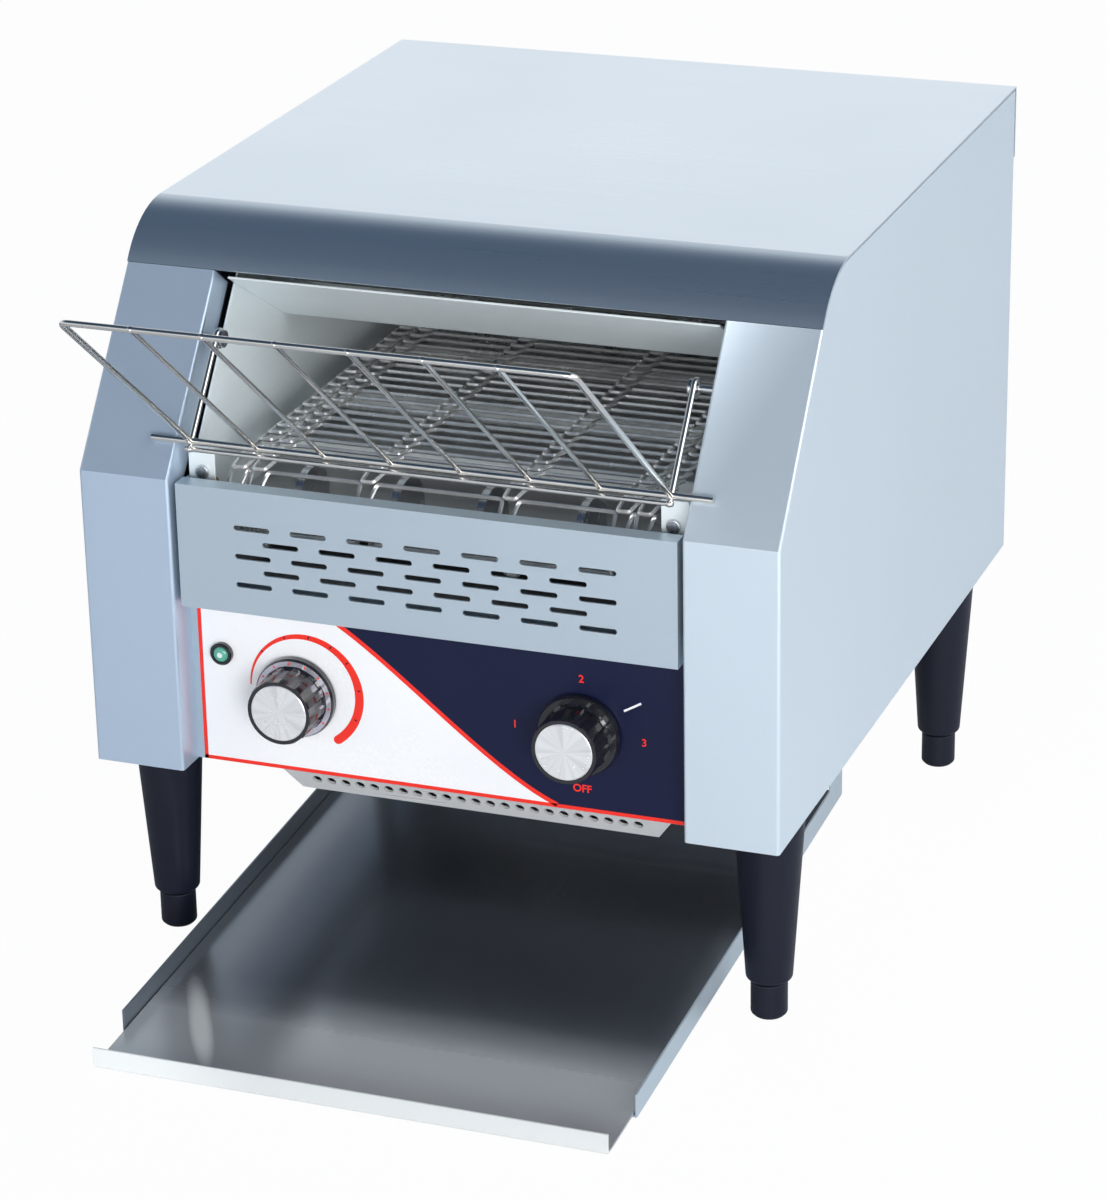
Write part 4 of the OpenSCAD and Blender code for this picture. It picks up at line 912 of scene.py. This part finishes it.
# The paler front, the paler left edge and the stripe are painted reflections and a painted glint in the base
# colour; where they are pale the sheet is also less metallic.
sheen_reach = 0.10
lip_highlight = 0.85
sheen_steps = ((0.024, 0.80), (0.036, 0.46), (0.62, 0.38), (0.80, 0.12))
edge_from = -0.04
edge_sheen = 0.24
glint_middle = (-0.100, tray_low.y + 0.049, 0)
glint_turn = math.radians(28.7)
glint_size = (0.013, 0.085, 1)
glint_pale = 0.9
glint_core = 0.1
sheen_colour = (0.93, 0.95, 0.93, 1)
sheen_dullness = 0.8


def on_tray_fold(a, b):
    """True for the long lower edge where the lip turns up."""
    at_lip = all(abs(p.z - tray_low.z) < near and p.y < tray_low.y + lip_thick for p in (a, b))
    return at_lip and abs(a.x - b.x) > lip_shortest


def tray_metal():
    """Dark polish with painted reflections: paler along the lip, towards the left edge and in one painted
    glint stripe near their corner.
    """
    material = sheet_metal("tray_polish", (0.26, 0.28, 0.31), (0.22, 0.24, 0.28),
                           (900, 5, 5), rough=(0.16, 0.24), cloud_size=6, bump=0.006)
    tree = material.node_tree
    body = tree.nodes["Principled BSDF"]
    dark = body.inputs["Base Color"].links[0].from_socket
    place = tree.nodes.new("ShaderNodeTexCoord")
    split = tree.nodes.new("ShaderNodeSeparateXYZ")
    tree.links.new(place.outputs["Object"], split.inputs[0])
    reach = tree.nodes.new("ShaderNodeMapRange")
    reach.inputs["From Min"].default_value = tray_low.y
    reach.inputs["From Max"].default_value = tray_low.y + sheen_reach
    front = tree.nodes.new("ShaderNodeValToRGB")
    front.color_ramp.elements[0].color = (lip_highlight, lip_highlight, lip_highlight, 1)
    front.color_ramp.elements[1].color = (0, 0, 0, 1)
    for share, pale in sheen_steps:
        front.color_ramp.elements.new(share).color = (pale, pale, pale, 1)
    edge = tree.nodes.new("ShaderNodeMapRange")
    edge.interpolation_type = "SMOOTHSTEP"
    edge.inputs["From Min"].default_value = edge_from
    edge.inputs["From Max"].default_value = tray_low.x
    edge.inputs["To Max"].default_value = edge_sheen
    sheet = tree.nodes.new("ShaderNodeMath")
    tree.links.new(split.outputs["Y"], reach.inputs["Value"])
    tree.links.new(reach.outputs["Result"], front.inputs["Fac"])
    tree.links.new(split.outputs["X"], edge.inputs["Value"])
    tree.links.new(front.outputs["Color"], sheet.inputs[0])
    tree.links.new(edge.outputs["Result"], sheet.inputs[1])
    # the stripe: a painted glint, a soft bright streak near the front left corner
    glint_place = tree.nodes.new("ShaderNodeMapping")
    glint_place.vector_type = "TEXTURE"
    glint_place.inputs["Location"].default_value = glint_middle
    glint_place.inputs["Rotation"].default_value = (0, 0, glint_turn)
    glint_place.inputs["Scale"].default_value = glint_size
    away = tree.nodes.new("ShaderNodeVectorMath")
    away.operation = "LENGTH"
    glint_stripe = tree.nodes.new("ShaderNodeMapRange")
    glint_stripe.interpolation_type = "SMOOTHERSTEP"
    glint_stripe.inputs["From Min"].default_value = 1.0
    glint_stripe.inputs["From Max"].default_value = glint_core
    glint_stripe.inputs["To Max"].default_value = glint_pale
    tree.links.new(place.outputs["Object"], glint_place.inputs["Vector"])
    tree.links.new(glint_place.outputs["Vector"], away.inputs[0])
    tree.links.new(away.outputs["Value"], glint_stripe.inputs["Value"])
    most = tree.nodes.new("ShaderNodeMath")
    most.operation = "MAXIMUM"
    tree.links.new(sheet.outputs[0], most.inputs[0])
    tree.links.new(glint_stripe.outputs["Result"], most.inputs[1])
    tone = tree.nodes.new("ShaderNodeMix")
    tone.data_type = "RGBA"
    tone.inputs["B"].default_value = sheen_colour
    tree.links.new(most.outputs[0], tone.inputs["Factor"])
    tree.links.new(dark, tone.inputs["A"])
    tree.links.new(tone.outputs["Result"], body.inputs["Base Color"])
    dull = tree.nodes.new("ShaderNodeMath")
    dull.operation = "MULTIPLY_ADD"
    dull.inputs[1].default_value = -sheen_dullness
    dull.inputs[2].default_value = 1
    tree.links.new(most.outputs[0], dull.inputs[0])
    tree.links.new(dull.outputs[0], body.inputs["Metallic"])
    return material


steel_tray = tray_metal()
from_solid("tray", "tray_sheet", steel_tray, folds=on_tray_fold, fold=lip_fold)
# The left guide's dark steel is painted shade on its inner face; the right guide uses the front panels'
# steel.
steel_guide_shade = sheet_metal("stainless_guide_shade", (0.20, 0.23, 0.27), (0.16, 0.19, 0.23),
                         brushed_lengthways, rough=sheet_rough, cloud_size=wide_cloud, bump=faint_lines,
                         metallic=0.7)
for side, metal in (("left", steel_guide_shade), ("right", steel_front)):
    from_solid("tray_guide_" + side, "guide_sheet_" + side, metal)

# ---- Feed rack -------------------------------------------------------------
# Bright wires bent and spot-welded: a wing of eight wires, a rod that rests
# on the posts, a second rod below it and two arms that end in eyes.
slant_length = math.hypot(seam_depth, seam_height - kink_height)
slant_up = Vector((0, seam_depth, seam_height - kink_height)) / slant_length
slant_out = Vector((0, -slant_up.z, slant_up.y))
kink = Vector((0, post_front, kink_height))
frame_wire = 0.0018
side_wire = 0.0016
arm_wire = 0.0015
thin_wire = 0.0013
rod_gap = 0.0003
rod_out = frame_wire + rod_gap
rest_half = 0.1474
rack_half = 0.126
second_half = rack_half + 0.002
rest_up = 0.0208
second_up = 0.0168
hinge_up = 0.077
hinge_in = 0.0034
rest_point = kink + rest_up * slant_up + rod_out * slant_out
second_point = kink + second_up * slant_up + rod_out * slant_out
hinge_point = kink + hinge_up * slant_up - hinge_in * slant_out
wing_rise = math.radians(38.5)
wing_length = 0.166
wing_corner = 0.005
wing_tip = rest_point + wing_length * Vector((0, -math.cos(wing_rise), math.sin(wing_rise)))
wing_wires = 8
wing_places = [-rack_half + i * 2 * rack_half / (wing_wires - 1) for i in range(wing_wires)]
eye_radius = 0.0040
eye_lead = 0.004
eye_step = math.pi / 16
eye_points = 31
rod_weld = 0.0021
thin_weld = 0.0019
weld_squash = (1.15, 0.95, 0.95)


def aside(point, x):
    """The same point moved sideways, to that x."""
    return Vector((x, point.y, point.z))


wing_path = [aside(rest_point, -rack_half), aside(wing_tip, -rack_half),
             aside(wing_tip, rack_half), aside(rest_point, rack_half)]
wires = [wire_mesh("rack_frame", rounded(wing_path, wing_corner, 6), side_wire, 12)]
for name, point, half, wire in (("rack_rest", rest_point, rest_half, frame_wire),
                                ("rack_second", second_point, second_half, thin_wire)):
    wires.append(wire_mesh(name, [aside(point, -half), aside(point, half)], wire, 12))
for x in wing_places[1:-1]:
    wires.append(wire_mesh("rack_wire", [aside(rest_point, x), aside(wing_tip, x)], thin_wire, 10))
for x in (-rack_half, rack_half):
    eye = [hinge_point + eye_radius * (math.cos(i * eye_step) * slant_out + math.sin(i * eye_step) * slant_up)
           for i in range(eye_points)]
    arm = [second_point, hinge_point + eye_radius * slant_out - eye_lead * slant_up]
    wires.append(wire_mesh("rack_arm", [aside(p, x) for p in arm + eye], arm_wire, 12))
for point, places, size in (
        (rest_point, wing_places, rod_weld), (wing_tip, wing_places[1:-1], thin_weld),
        (second_point, (-rack_half, rack_half), thin_weld)):
    for x in places:
        bpy.ops.object.select_all(action="DESELECT")
        bpy.ops.mesh.primitive_uv_sphere_add(segments=16, ring_count=8, radius=size, location=aside(point, x))
        weld = bpy.context.object
        weld.scale = weld_squash
        bpy.ops.object.transform_apply(location=True, rotation=True, scale=True)
        bpy.ops.object.shade_smooth()
        wires.append(weld)
rack_steel = sheet_metal("rack_wire_steel", (0.86, 0.84, 0.80), (0.66, 0.64, 0.61),
                         (90, 90, 90), rough=(0.12, 0.24), cloud_size=30)
ride_like(joined(wires, "rack_wires", rack_steel), "feed_rack")
